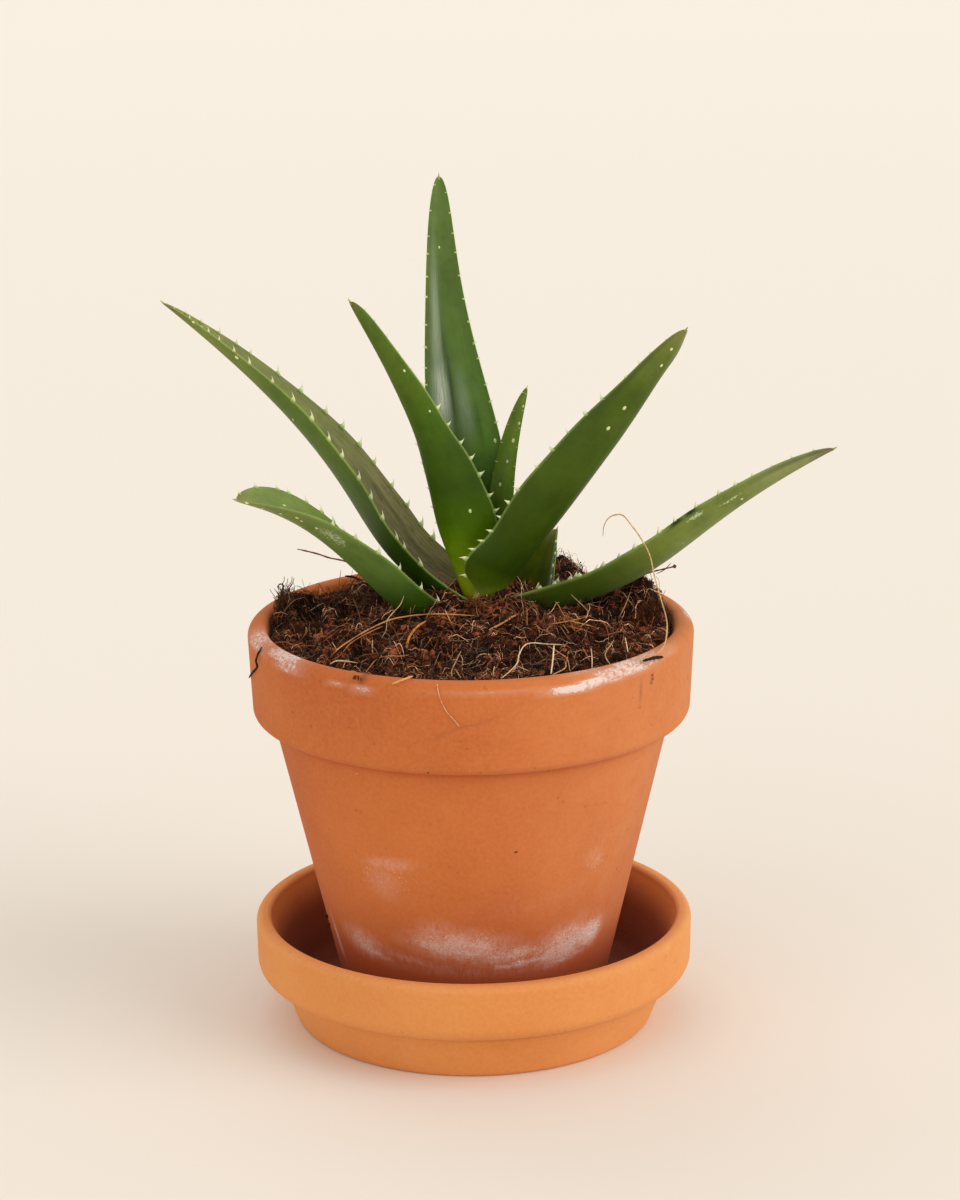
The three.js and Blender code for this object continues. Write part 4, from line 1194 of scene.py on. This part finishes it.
# single strands on the soil: thickness and arch in millimetres, tone, and pixels along the strand
strandSettings = [
    (0.22, 2.8, (212, 152, 100), [(330, 658), (338, 649), (351, 640), (364, 632), (382, 623), (397, 618),
                                  (419, 615), (441, 614), (479, 616)]),
    (0.15, 2.2, (200, 138, 82), [(343, 652), (351, 643), (366, 634), (383, 626)]),
    (0.34, 1.5, (212, 136, 66), [(426, 621), (417, 627), (410, 636), (407, 645), (407, 655)]),
    (0.14, 5.0, (206, 188, 140), [(404, 596), (400, 605), (391, 615), (387, 621), (386, 630), (381, 639)]),
    (0.12, 3.0, (190, 150, 90), [(428, 601), (425, 608), (424, 617)]),
    (0.19, 1.5, (224, 192, 160), [(330, 664), (336, 661), (345, 661), (358, 663)]),
    (0.16, 2.0, (196, 140, 92), [(366, 672), (376, 660), (388, 656), (403, 656), (423, 652)]),
    (0.16, 1.6, (140, 90, 54), [(272, 643), (285, 642), (297, 646), (314, 646), (329, 651)]),
    (0.1, 9.0, (120, 78, 48), [(341, 570), (338, 588), (332, 605)]),
    (0.13, 2.0, (120, 76, 46), [(353, 598), (359, 614), (362, 630)]),
    (0.16, 1.0, (186, 150, 112), [(461, 651), (452, 670), (452, 676)]),
    (0.14, 1.0, (186, 150, 112), [(455, 669), (461, 678)]),
    (0.2, 2.8, (234, 202, 166), [(502, 678), (516, 665), (519, 655), (524, 646), (532, 643), (546, 644),
                                 (565, 645)]),
    (0.13, 1.0, (220, 182, 146), [(517, 666), (529, 671)]),
    (0.22, 1.6, (242, 214, 180), [(554, 645), (553, 658), (551, 674)]),
    (0.16, 1.6, (196, 140, 96), [(548, 646), (558, 652), (567, 659), (570, 671)]),
    (0.16, 1.2, (206, 152, 104), [(565, 661), (565, 668), (552, 675)]),
    (0.29, 1.4, (220, 154, 92), [(489, 630), (499, 625), (518, 614)]),
    (0.24, 1.0, (170, 104, 60), [(521, 641), (530, 630)]),
    (0.19, 1.6, (166, 104, 68), [(527, 608), (527, 626)]),
    (0.16, 1.4, (196, 140, 92), [(570, 621), (545, 625)]),
    (0.19, 1.6, (190, 128, 76), [(570, 621), (582, 618), (592, 615)]),
    (0.18, 1.0, (184, 124, 76), [(570, 621), (577, 636)]),
    (0.19, 1.4, (200, 144, 92), [(570, 621), (594, 627), (609, 634)]),
    (0.16, 1.4, (176, 116, 70), [(568, 626), (586, 631), (602, 637)]),
    (0.14, 5.0, (196, 170, 124), [(568, 592), (579, 602), (590, 613)]),
    (0.16, 2.0, (120, 78, 50), [(549, 610), (564, 608), (573, 610)]),
    (0.27, 1.4, (140, 82, 46), [(595, 637), (611, 634), (625, 630)]),
    (0.16, 3.0, (188, 146, 104), [(630, 593), (624, 608), (617, 621)]),
    (0.18, 1.6, (196, 150, 108), [(614, 640), (606, 652), (606, 658), (610, 664)]),
    (0.19, 1.4, (234, 200, 166), [(625, 637), (628, 652)]),
    (0.16, 1.2, (224, 188, 156), [(591, 648), (592, 658), (592, 668)]),
    (0.16, 1.0, (214, 176, 140), [(476, 658), (483, 654), (499, 656)]),
    (0.24, 0.6, (222, 168, 82), [(554, 637), (562, 637)]),
    (0.36, 2.0, (40, 26, 18), [(345, 576), (353, 577), (359, 579)]),
]
# strands that hang free: thickness, bulb at the end, tone, and rows of pixel and depth Y in millimetres;
# a row without a depth lies on the pot
looseSettings = [
    (0.2, 0, (222, 188, 132), [(603, 536, -1), (604, 526, -2), (610, 517, -3), (622, 515, -4),
                               (632, 526, -6), (642, 540, -8),
                               (650, 556, -10), (654, 574, -13), (660, 596, -16), (666, 617, -21),
                               (667, 629, -25), (665, 643, -31), (659, 652, -37), (646, 658, -43),
                               (634, 657, -44)]),
    (0.13, 0, (228, 180, 144), [(437, 681), (438, 690), (441, 701), (447, 712), (455, 721), (460, 727)]),
    (0.06, 0, (176, 128, 98), [(431, 742), (448, 733), (463, 727), (480, 724), (500, 715)]),
    (0.3, 0, (232, 166, 104), [(392, 684, -62.5), (402, 680, -61), (413, 676, -59.5)]),
    (0.5, 0, (50, 30, 20), [(643, 661), (649, 659), (656, 657.5), (663, 657)]),
    (0.3, 0, (46, 28, 20), [(262, 647), (258, 654), (256, 661), (257, 667), (252, 673), (249, 678)]),
    (0.14, 0.3, (70, 44, 30), [(584, 580, 34), (583, 573, 34), (580, 569, 34), (579, 565, 34),
                               (581, 562, 34)]),
    (0.24, 0.55, (120, 76, 52), [(638, 579, 15), (646, 574, 14), (655, 571, 13), (664, 569, 11),
                                 (676, 566, 9)]),
    (0.14, 0, (140, 96, 66), [(656, 574, 13), (664, 570, 11), (671, 563, 10)]),
    (0.24, 0, (128, 82, 60), [(297, 549, 34), (306, 551, 34), (318, 554, 33), (330, 558, 31),
                              (344, 561, 30), (358, 568, 30)]),
    (0.2, 0, (60, 38, 26), [(279, 590, 0), (278, 586, 0), (281, 584, 0), (283.5, 586, 0), (282, 590, 0),
                            (279, 604, -1)]),
    (0.12, 0, (150, 108, 70), [(288, 578, 2), (287, 586, 1), (290, 600, 0)]),
]
floorCrumbs = [(184, 205, 40), (-205, -150, 26), (150, 175, 20)]  # from and to in degrees, and how many
stuckCrumbs = [  # grains that stick to the pot's wall: pixel, size and tone
    (357, 773, 0.3, (214, 200, 190)), (516, 852, 0.42, (58, 32, 22)), (470, 771, 0.2, (214, 190, 170)),
    (328, 916, 0.5, (44, 26, 18)), (330, 924, 0.4, (44, 26, 18)), (329, 931, 0.45, (50, 30, 20)),
    (293, 712, 0.3, (70, 38, 24)), (361, 674, 0.46, (108, 54, 36)), (360, 676.5, 0.6, (94, 46, 30)),
    (361, 679, 0.44, (104, 50, 34)), (652, 675, 0.2, (120, 56, 34)), (653, 679, 0.22, (104, 46, 30)),
    (651, 683, 0.18, (120, 58, 36)),
]


def soilLumps():  # the same repeatable draws as in the solid, so that the mound is the same
    v = soilSettings
    state = v["lumpSeed"]
    rows = list(v["clumps"])
    for _ in range(v["lumpCount"]):
        draws = []
        for _ in range(4):
            state = (state * 1664525 + 1013904223) % 4294967296
            draws.append(state / 4294967296)
        far, turn = v["lumpReach"] * math.sqrt(draws[0]), 2 * math.pi * draws[1]
        rows.append((far * math.cos(turn), far * math.sin(turn),
                     between(v["lumpRise"], draws[2]), between(v["lumpSpread"], draws[3])))
    return np.array(rows)


lumpRows = soilLumps()


def soilHills(x, y):  # crumbly hills of three sizes
    return sum(rise * softNoise(x, y, size, seed) for size, rise, seed in soilSettings["relief"])


def soilShade(x, y):  # painted shade and light: the hollows between the hills are darker and the hill tops lighter
    least, more, low, high = soilSettings["shade"]
    return least + more * smoothStep(low, high, soilHills(x, y))


def soilHeight(x, y):  # mound and lumps, each a bell curve, with crumbly hills that fade at the wall
    v = soilSettings
    x, y = np.asarray(x, float), np.asarray(y, float)
    far = np.hypot(x - v["crown"][0], y - v["crown"][1])
    height = v["edgeLevel"] + v["moundRise"] * np.exp(-0.5 * (far / v["moundSpread"]) ** 2)
    away = np.hypot(x[..., None] - lumpRows[:, 0], y[..., None] - lumpRows[:, 1]) / lumpRows[:, 3]
    height = height + (lumpRows[:, 2] * np.exp(-0.5 * away ** 2)).sum(-1)
    return height + soilHills(x, y) * smoothStep(*v["reliefFade"], np.hypot(x, y))


def onSoil(pixel, lift):  # place on a pixel's sight line at a height over the soil or the lip
    v = soilSettings
    line = sightLine(pixel)
    level = v["firstGuess"] + lift
    for _ in range(8):
        place = viewPlace + line * (level - viewPlace[2]) / line[2]
        x, y = place[0], place[1]
        level = (float(soilHeight(x, y)) if math.hypot(x, y) < v["soilEdge"] else v["onLip"]) + lift
    return place


def makeEarth():
    # grid of rings: the surface from the middle to the wall, then down the wall and in along the floor
    v = soilSettings
    angle = roundAngles(v["turns"])
    r = v["radius"] * (np.linspace(0.01, 1, v["rings"]) ** 0.8)[:, None]
    top = ringPlaces(r, angle, soilHeight(r * np.cos(angle), r * np.sin(angle)))
    down = np.linspace(0.03, 1, v["wallRings"])[:, None]
    wall = ringPlaces(between((v["radius"], v["kneeRadius"]), down), angle,
                      between((top[-1, :, 2], v["kneeLevel"]), down))
    floor = ringPlaces(v["floorRadius"], angle[None], v["floorLevel"])
    grid = np.concatenate([top, wall, floor])
    points, blocks = closedBody(grid, [0, 0, float(soilHeight(0, 0))], [0, 0, v["floorLevel"]])
    light = softNoise(points[:, 0], points[:, 1], 2.2, 12) * 0.5 + 0.5
    tint = blendTones(v["earth"], v["earthLight"], (light ** 2 * 0.6)[:, None])
    tint = tint * soilShade(points[:, 0], points[:, 1])[:, None]
    return points, [block[:, ::-1] for block in blocks], tint


def makeCrumbs():
    # pith crumbs: each a squashed icosahedron with shaken corners, scattered over the disc
    v = crumbSettings
    draw = np.random.default_rng(v["seed"])
    gold = (1 + 5 ** 0.5) / 2
    first = np.array([(-1, gold, 0), (1, gold, 0), (-1, -gold, 0), (1, -gold, 0)], float)
    corners = np.concatenate([np.roll(first, places, axis=1) for places in range(3)])
    corners /= np.linalg.norm(corners[0])
    faces = np.array([
        (0, 11, 5), (0, 5, 1), (0, 1, 7), (0, 7, 10), (0, 10, 11), (1, 5, 9), (5, 11, 4), (11, 10, 2),
        (10, 7, 6), (7, 1, 8), (3, 9, 4), (3, 4, 2), (3, 2, 6), (3, 6, 8), (3, 8, 9), (4, 9, 5),
        (2, 4, 11), (6, 2, 10), (8, 6, 7), (9, 8, 1),
    ])
    count = v["count"]
    far, turn = v["reach"] * np.sqrt(draw.uniform(0, 1, count)), draw.uniform(0, 2 * np.pi, count)
    x, y = far * np.cos(turn), far * np.sin(turn)
    size = between(v["size"], draw.uniform(0, 1, count) ** 2.0)
    squash = draw.uniform(*v["squash"], (count, 1, 3))
    centre = np.stack([x, y, soilHeight(x, y) + size * draw.uniform(*v["lift"], count)], -1)
    used = 0
    for begin, end, some in floorCrumbs:  # a few that fell on the saucer's floor beside the pot's foot
        turn = np.radians(draw.uniform(begin, end, some))
        ring, these = draw.uniform(*v["floorRing"], some), slice(used, used + some)
        size[these] = draw.uniform(*v["floorSize"], some)
        level = v["floorLevel"] + np.maximum(0, ring - v["kneeRadius"]) * v["kneeSlope"] + size[these] * 0.6
        centre[these] = ringPlaces(ring, turn, level)
        used += some
    share = (draw.uniform(0, 1, count) ** 1.8)[:, None]
    tint = blendTones(v["dark"], v["light"], share) * soilShade(x, y)[:, None]
    for number, (*pixel, wide, tone) in enumerate(stuckCrumbs, used):
        angle, height = onPot(pixel)
        centre[number] = turned(np.array([[wallRadius(height), height]]), angle, 0)[0]
        size[number], tint[number] = wide, paint(tone)[:3]
    shaken = corners[None] * draw.uniform(*v["shake"], (count, 12, 1)) * squash * size[:, None, None]
    blocks = [(faces[None] + (np.arange(count) * 12)[:, None, None]).reshape(-1, 3)]
    return (shaken + centre[:, None]).reshape(-1, 3), blocks, np.repeat(tint, 12, axis=0)


def makeHairs(v):
    # thin bent bars; x and y follow a turning direction, and the height is the soil's plus a lift, an arch
    # and, for those that stand, a rise
    draw = np.random.default_rng(v["seed"])
    count, steps = v["count"], v["steps"]
    far = soilSettings["hairReach"] * np.sqrt(draw.uniform(0, 1, count))
    turn, run = draw.uniform(0, 2 * np.pi, count), draw.uniform(0, 2 * np.pi, count)
    curl = draw.normal(0, v["curl"], count)
    length = between(v["length"], draw.uniform(0, 1, count) ** 1.6)
    s = np.linspace(-0.5, 0.5, steps)[None]
    heading = run[:, None] + curl[:, None] * s + 0.25 * np.sin(9 * s + turn[:, None])
    stands = draw.uniform(0, 1, count) < v["stands"]
    stride = (length * np.where(stands, 0.5, 1.0) / (steps - 1))[:, None]
    x, y = [(far * wave(turn))[:, None] + np.cumsum(wave(heading) * stride, 1)
            - (wave(run) * length / 2)[:, None] for wave in (np.cos, np.sin)]
    pull = np.minimum(1, soilSettings["hairEdge"] / np.maximum(np.hypot(x, y), 1e-6))
    x, y = x * pull, y * pull
    ramp = (s + 0.5) ** 1.5 * np.where(stands, draw.uniform(*v["rise"], count), 0.0)[:, None]
    lift = draw.uniform(*v["lift"], count)[:, None]
    arch = v["arch"] * draw.uniform(0, 1, count)[:, None] ** 2.5
    ground = soilHeight(x, y) * 0.75 + soilHeight(x[:, :1], y[:, :1]) * 0.25
    z = ground + lift + arch * (1 - (2 * s) ** 2) + ramp
    thick = between(v["thick"], draw.uniform(0, 1, count) ** 2)[:, None]
    points, blocks = manyTubes(np.stack([x, y, z], -1), thick * (1 - 0.5 * (2 * np.abs(s)) ** 3), 3)
    tones = np.array([paint(tone)[:3] for tone in v["tones"]])
    tint = tones[draw.choice(len(tones), count, p=v["shares"])] * draw.uniform(0.75, 1.25, (count, 1))
    tint = tint * soilShade(x[:, steps // 2], y[:, steps // 2])[:, None]
    return points, blocks, np.repeat(tint, steps * 3, axis=0)


def makeTufts():
    # tangled bunches: each hair rises from the soil, leans out and curls: foot + up h s + lean s^2 + coil
    parts = []
    steps, sides = 9, 3
    s = np.linspace(0, 1, steps)[None, :, None]
    for number, (*pixel, count, height, wide, tone) in enumerate(tuftSettings):
        draw = np.random.default_rng(70 + number)
        foot = onSoil(pixel, 0.0) + draw.normal(0, 1, (count, 3)) * (wide * 0.5, wide * 0.5, 0)
        reach = np.hypot(foot[:, 0], foot[:, 1])
        foot[:, :2] *= np.minimum(1, soilSettings["tuftEdge"] / reach)[:, None]
        foot[:, 2] = soilHeight(foot[:, 0], foot[:, 1]) - 0.8
        lean = draw.normal(0, 0.1 * height, (count, 1, 3)) * (1, 1, 0.1)
        tall = height * draw.uniform(0.25, 1, (count, 1, 1)) ** 1.6 * (0, 0, 1)
        phase, size = draw.uniform(0, 6.28, (count, 1, 3)), draw.uniform(0.25, 0.9, (count, 1, 1))
        coil = size * (np.sin(phase + 8 * s) - np.sin(phase)) * (1, 1, 0.7)
        bend = 1 - 0.35 * draw.uniform(0, 1, (count, 1, 1)) * s
        path = foot[:, None] + tall * s * bend + lean * s ** 2 + coil
        thick = draw.uniform(0.08, 0.22, (count, 1)) * (1 - 0.5 * s[..., 0])
        tints = np.repeat(paint(tone)[:3] * draw.uniform(0.5, 1.6, (count, 1)), steps * sides, axis=0)
        parts.append((*manyTubes(path, thick, sides), tints))
    return joined(parts)


def smoothPath(places, steps):  # a curve through the places, by Catmull-Rom between each pair
    p = np.asarray(places, float)
    full = np.vstack([2 * p[0] - p[1], p, 2 * p[-1] - p[-2]])
    s = np.linspace(0, len(p) - 1, steps)
    i = np.minimum(s.astype(int), len(p) - 2)
    f = (s - i)[:, None]
    a, b, c, d = full[i], full[i + 1], full[i + 2], full[i + 3]
    second, third = 2 * a - 5 * b + 4 * c - d, 3 * b - a - 3 * c + d
    return 0.5 * (2 * b + (c - a) * f + second * f * f + third * f ** 3)


def onPotOrDepth(row, lift):  # a row of pixel and depth, or of a pixel on the pot
    if len(row) == 2:
        return hitPot(row) - viewForward * lift
    line = sightLine(row)
    return viewPlace + line * (row[2] - viewPlace[1]) / line[1]


strandRule = {"lift": 1.3, "standing": 0.68, "steepFrom": 0.3, "steepTo": 0.9}


def strandPlaces(arch, pixels):
    # a strand that runs sideways in the picture lies on the soil; a steep one stands up from its lowest
    # pixel, so that most of its height in the picture is height and not depth
    v = strandRule
    lifts = [v["lift"] + arch * 4 * f * (1 - f) for f in np.linspace(0, 1, len(pixels))]
    lying = np.array([onSoil(pixel, lift) for pixel, lift in zip(pixels, lifts)])
    across, down = np.ptp(pixels, axis=0)
    standing = v["standing"] * smoothStep(v["steepFrom"], v["steepTo"], down / (across + 1))
    foot = lying[np.argmax([pixel[1] for pixel in pixels])]
    depth = lying[:, 1] + standing * (foot[1] - lying[:, 1])
    lines = np.array([sightLine(pixel) for pixel in pixels])
    return viewPlace + lines * ((depth - viewPlace[1]) / lines[:, 1])[:, None]


def makeStrands():  # the strands and rootlets that stand out one by one, thinner at both ends
    rows = [(strandPlaces(arch, pixels), thick, 0, tone) for thick, arch, tone, pixels in strandSettings]
    rows += [([onPotOrDepth(place, thick) for place in places], thick, bulb, tone)
             for thick, bulb, tone, places in looseSettings]
    parts = []
    for places, thick, bulb, tone in rows:
        steps = 8 * len(places)
        s = np.linspace(-1, 1, steps)[None]
        radii = thick * (1 - 0.6 * np.abs(s) ** 6) * (1 + 0.12 * np.sin(17 * s))
        radii = radii + bulb * np.exp(-((s - 0.95) / 0.05) ** 2)
        points, blocks = manyTubes(smoothPath(places, steps)[None], radii, 6)
        parts.append((points, blocks, evenTint(tone, len(points))))
    return joined(parts)


coirFactors = {"deep": (0.62, 0.6, 0.58), "pale": (1.3, 1.26, 1.2), "damp": (0.6, 0.55, 0.5)}


def makeCoirMaterial():
    material, tree = newTree("coirFibre")
    where = onObject(tree)
    fine, broad = noiseOn(tree, where, 1500.0, 3.0), noiseOn(tree, where, 60.0, 3.0)
    tint = attribute(tree, "tint", "Color")
    colour = mixTones(tree, spread(tree, fine, 0.3, 0.7), scaled(tree, tint, coirFactors["deep"]),
                      scaled(tree, tint, coirFactors["pale"]))
    colour = mixTones(tree, spread(tree, broad, 0.35, 0.65, 0.0, 0.4), colour,
                      scaled(tree, colour, coirFactors["damp"]))
    rough = spread(tree, fine, 0.3, 0.7, 0.6, 0.95)
    finishMaterial(tree, {"Base Color": colour, "Roughness": rough, "Specular IOR Level": 0.15}, fine,
                   bumpDistance=0.25, bumpStrength=0.6)
    return material


def makeSoil():
    coir = makeCoirMaterial()
    pieces = {
        "soilEarth": makeEarth(), "soilCrumbs": makeCrumbs(), "soilTufts": makeTufts(),
        "soilStrands": makeStrands(),
        **{name: makeHairs(kind) for name, kind in hairKinds.items()},
    }
    for name, (points, blocks, tint) in pieces.items():
        piece = makePiece(name, points, blocks, coir, {"tint": tint}, name != "soilCrumbs")
        settle(piece, "coir", *(["coir_soil"] if name == "soilEarth" else []))


makeSoil()
print("soil is made")

stemSettings = {
    "crown": (2, 9), "radius": 5.5, "foot": 84, "rings": [(0, 0.5), (10, 0.8), (24, 1), (39, 0.8)],
    "lowPoint": 2, "highPoint": 1.5, "scarDepth": 0.35, "scarSpacing": 4.2, "steps": 60, "sides": 36,
    "rootSteps": 24, "rootSides": 12, "deep": (0.6, 0.56, 0.5),
    "rootCount": 4, "rootRadius": 1.6, "rootReach": 24, "rootDrop": 26, "firstTurn": 0.4, "curl": 0.5,
    "rise": 5, "stagger": 3, "tone": (170, 164, 108), "rootTone": (150, 118, 72),
}


def makeStem():
    # stem: rings whose radius runs between the named heights, cut by shallow leaf scars, and tapered roots
    v = stemSettings
    crown, (heights, shares) = np.array([*v["crown"], 0]), zip(*v["rings"])
    up = np.linspace(0, heights[-1], v["steps"])
    scars = (0.5 + 0.5 * np.cos(2 * np.pi * up / v["scarSpacing"])) ** 6
    radius = v["radius"] * np.interp(up, heights, shares) - v["scarDepth"] * scars
    grid = ringPlaces(radius[:, None], roundAngles(v["sides"]), (v["foot"] + up)[:, None]) + crown
    low = [*v["crown"], v["foot"] - v["lowPoint"]]
    high = [*v["crown"], v["foot"] + heights[-1] + v["highPoint"]]
    stem = closedBody(grid, low, high)
    s = np.linspace(0, 1, v["rootSteps"])
    number = np.arange(v["rootCount"])[:, None]
    turn = roundAngles(v["rootCount"])[:, None] + v["firstTurn"] + v["curl"] * s
    level = v["foot"] + v["rise"] + v["stagger"] * (number % 3) - v["rootDrop"] * s ** 2
    thick = np.broadcast_to(v["rootRadius"] * (1 - 0.45 * s), turn.shape)
    roots = manyTubes(ringPlaces(v["rootReach"] * s, turn, level) + crown, thick, v["rootSides"])
    points, blocks, tints = joined([
        (*stem, evenTint(v["tone"], len(stem[0]))), (*roots, evenTint(v["rootTone"], len(roots[0]))),
    ])
    material, tree = newTree("stemBark")
    grain = noiseOn(tree, stretched(tree, onObject(tree), (1.0, 1.0, 0.25)), 420.0, 3.0)
    tint = attribute(tree, "tint", "Color")
    colour = mixTones(tree, spread(tree, grain, 0.3, 0.7), scaled(tree, tint, v["deep"]), tint)
    finishMaterial(tree, {"Base Color": colour, "Roughness": 0.7}, grain,
                   bumpDistance=0.3, bumpStrength=0.5)
    settle(makePiece("stemCore", points, blocks, material, {"tint": tints}), "stem", "stem_and_roots")


makeStem()
print("stem is made")


def makeFloor():  # pale disc painted lighter with distance, as a painted light falloff
    material, tree = newTree("studioFloor")
    where = onObject(tree)
    soft = noiseOn(tree, where, 2.0, 2.0)
    back = addNode(tree, "ShaderNodeSeparateXYZ", {"Vector": where}).outputs["Y"]
    colour = mixTones(tree, spread(tree, back, -0.3, studio["farAt"] * mm),
                      paint(studio["floorNear"]), paint(studio["floorFar"]))
    finishMaterial(tree, {"Base Color": colour, "Roughness": 0.95, "Specular IOR Level": 0.1}, soft,
                   bumpDistance=0.01, bumpStrength=0.05)
    ring = ringPlaces(studio["floorRadius"], roundAngles(64), 0)
    makePiece("studioFloor", ring, [np.arange(len(ring))[None]], material)


makeFloor()
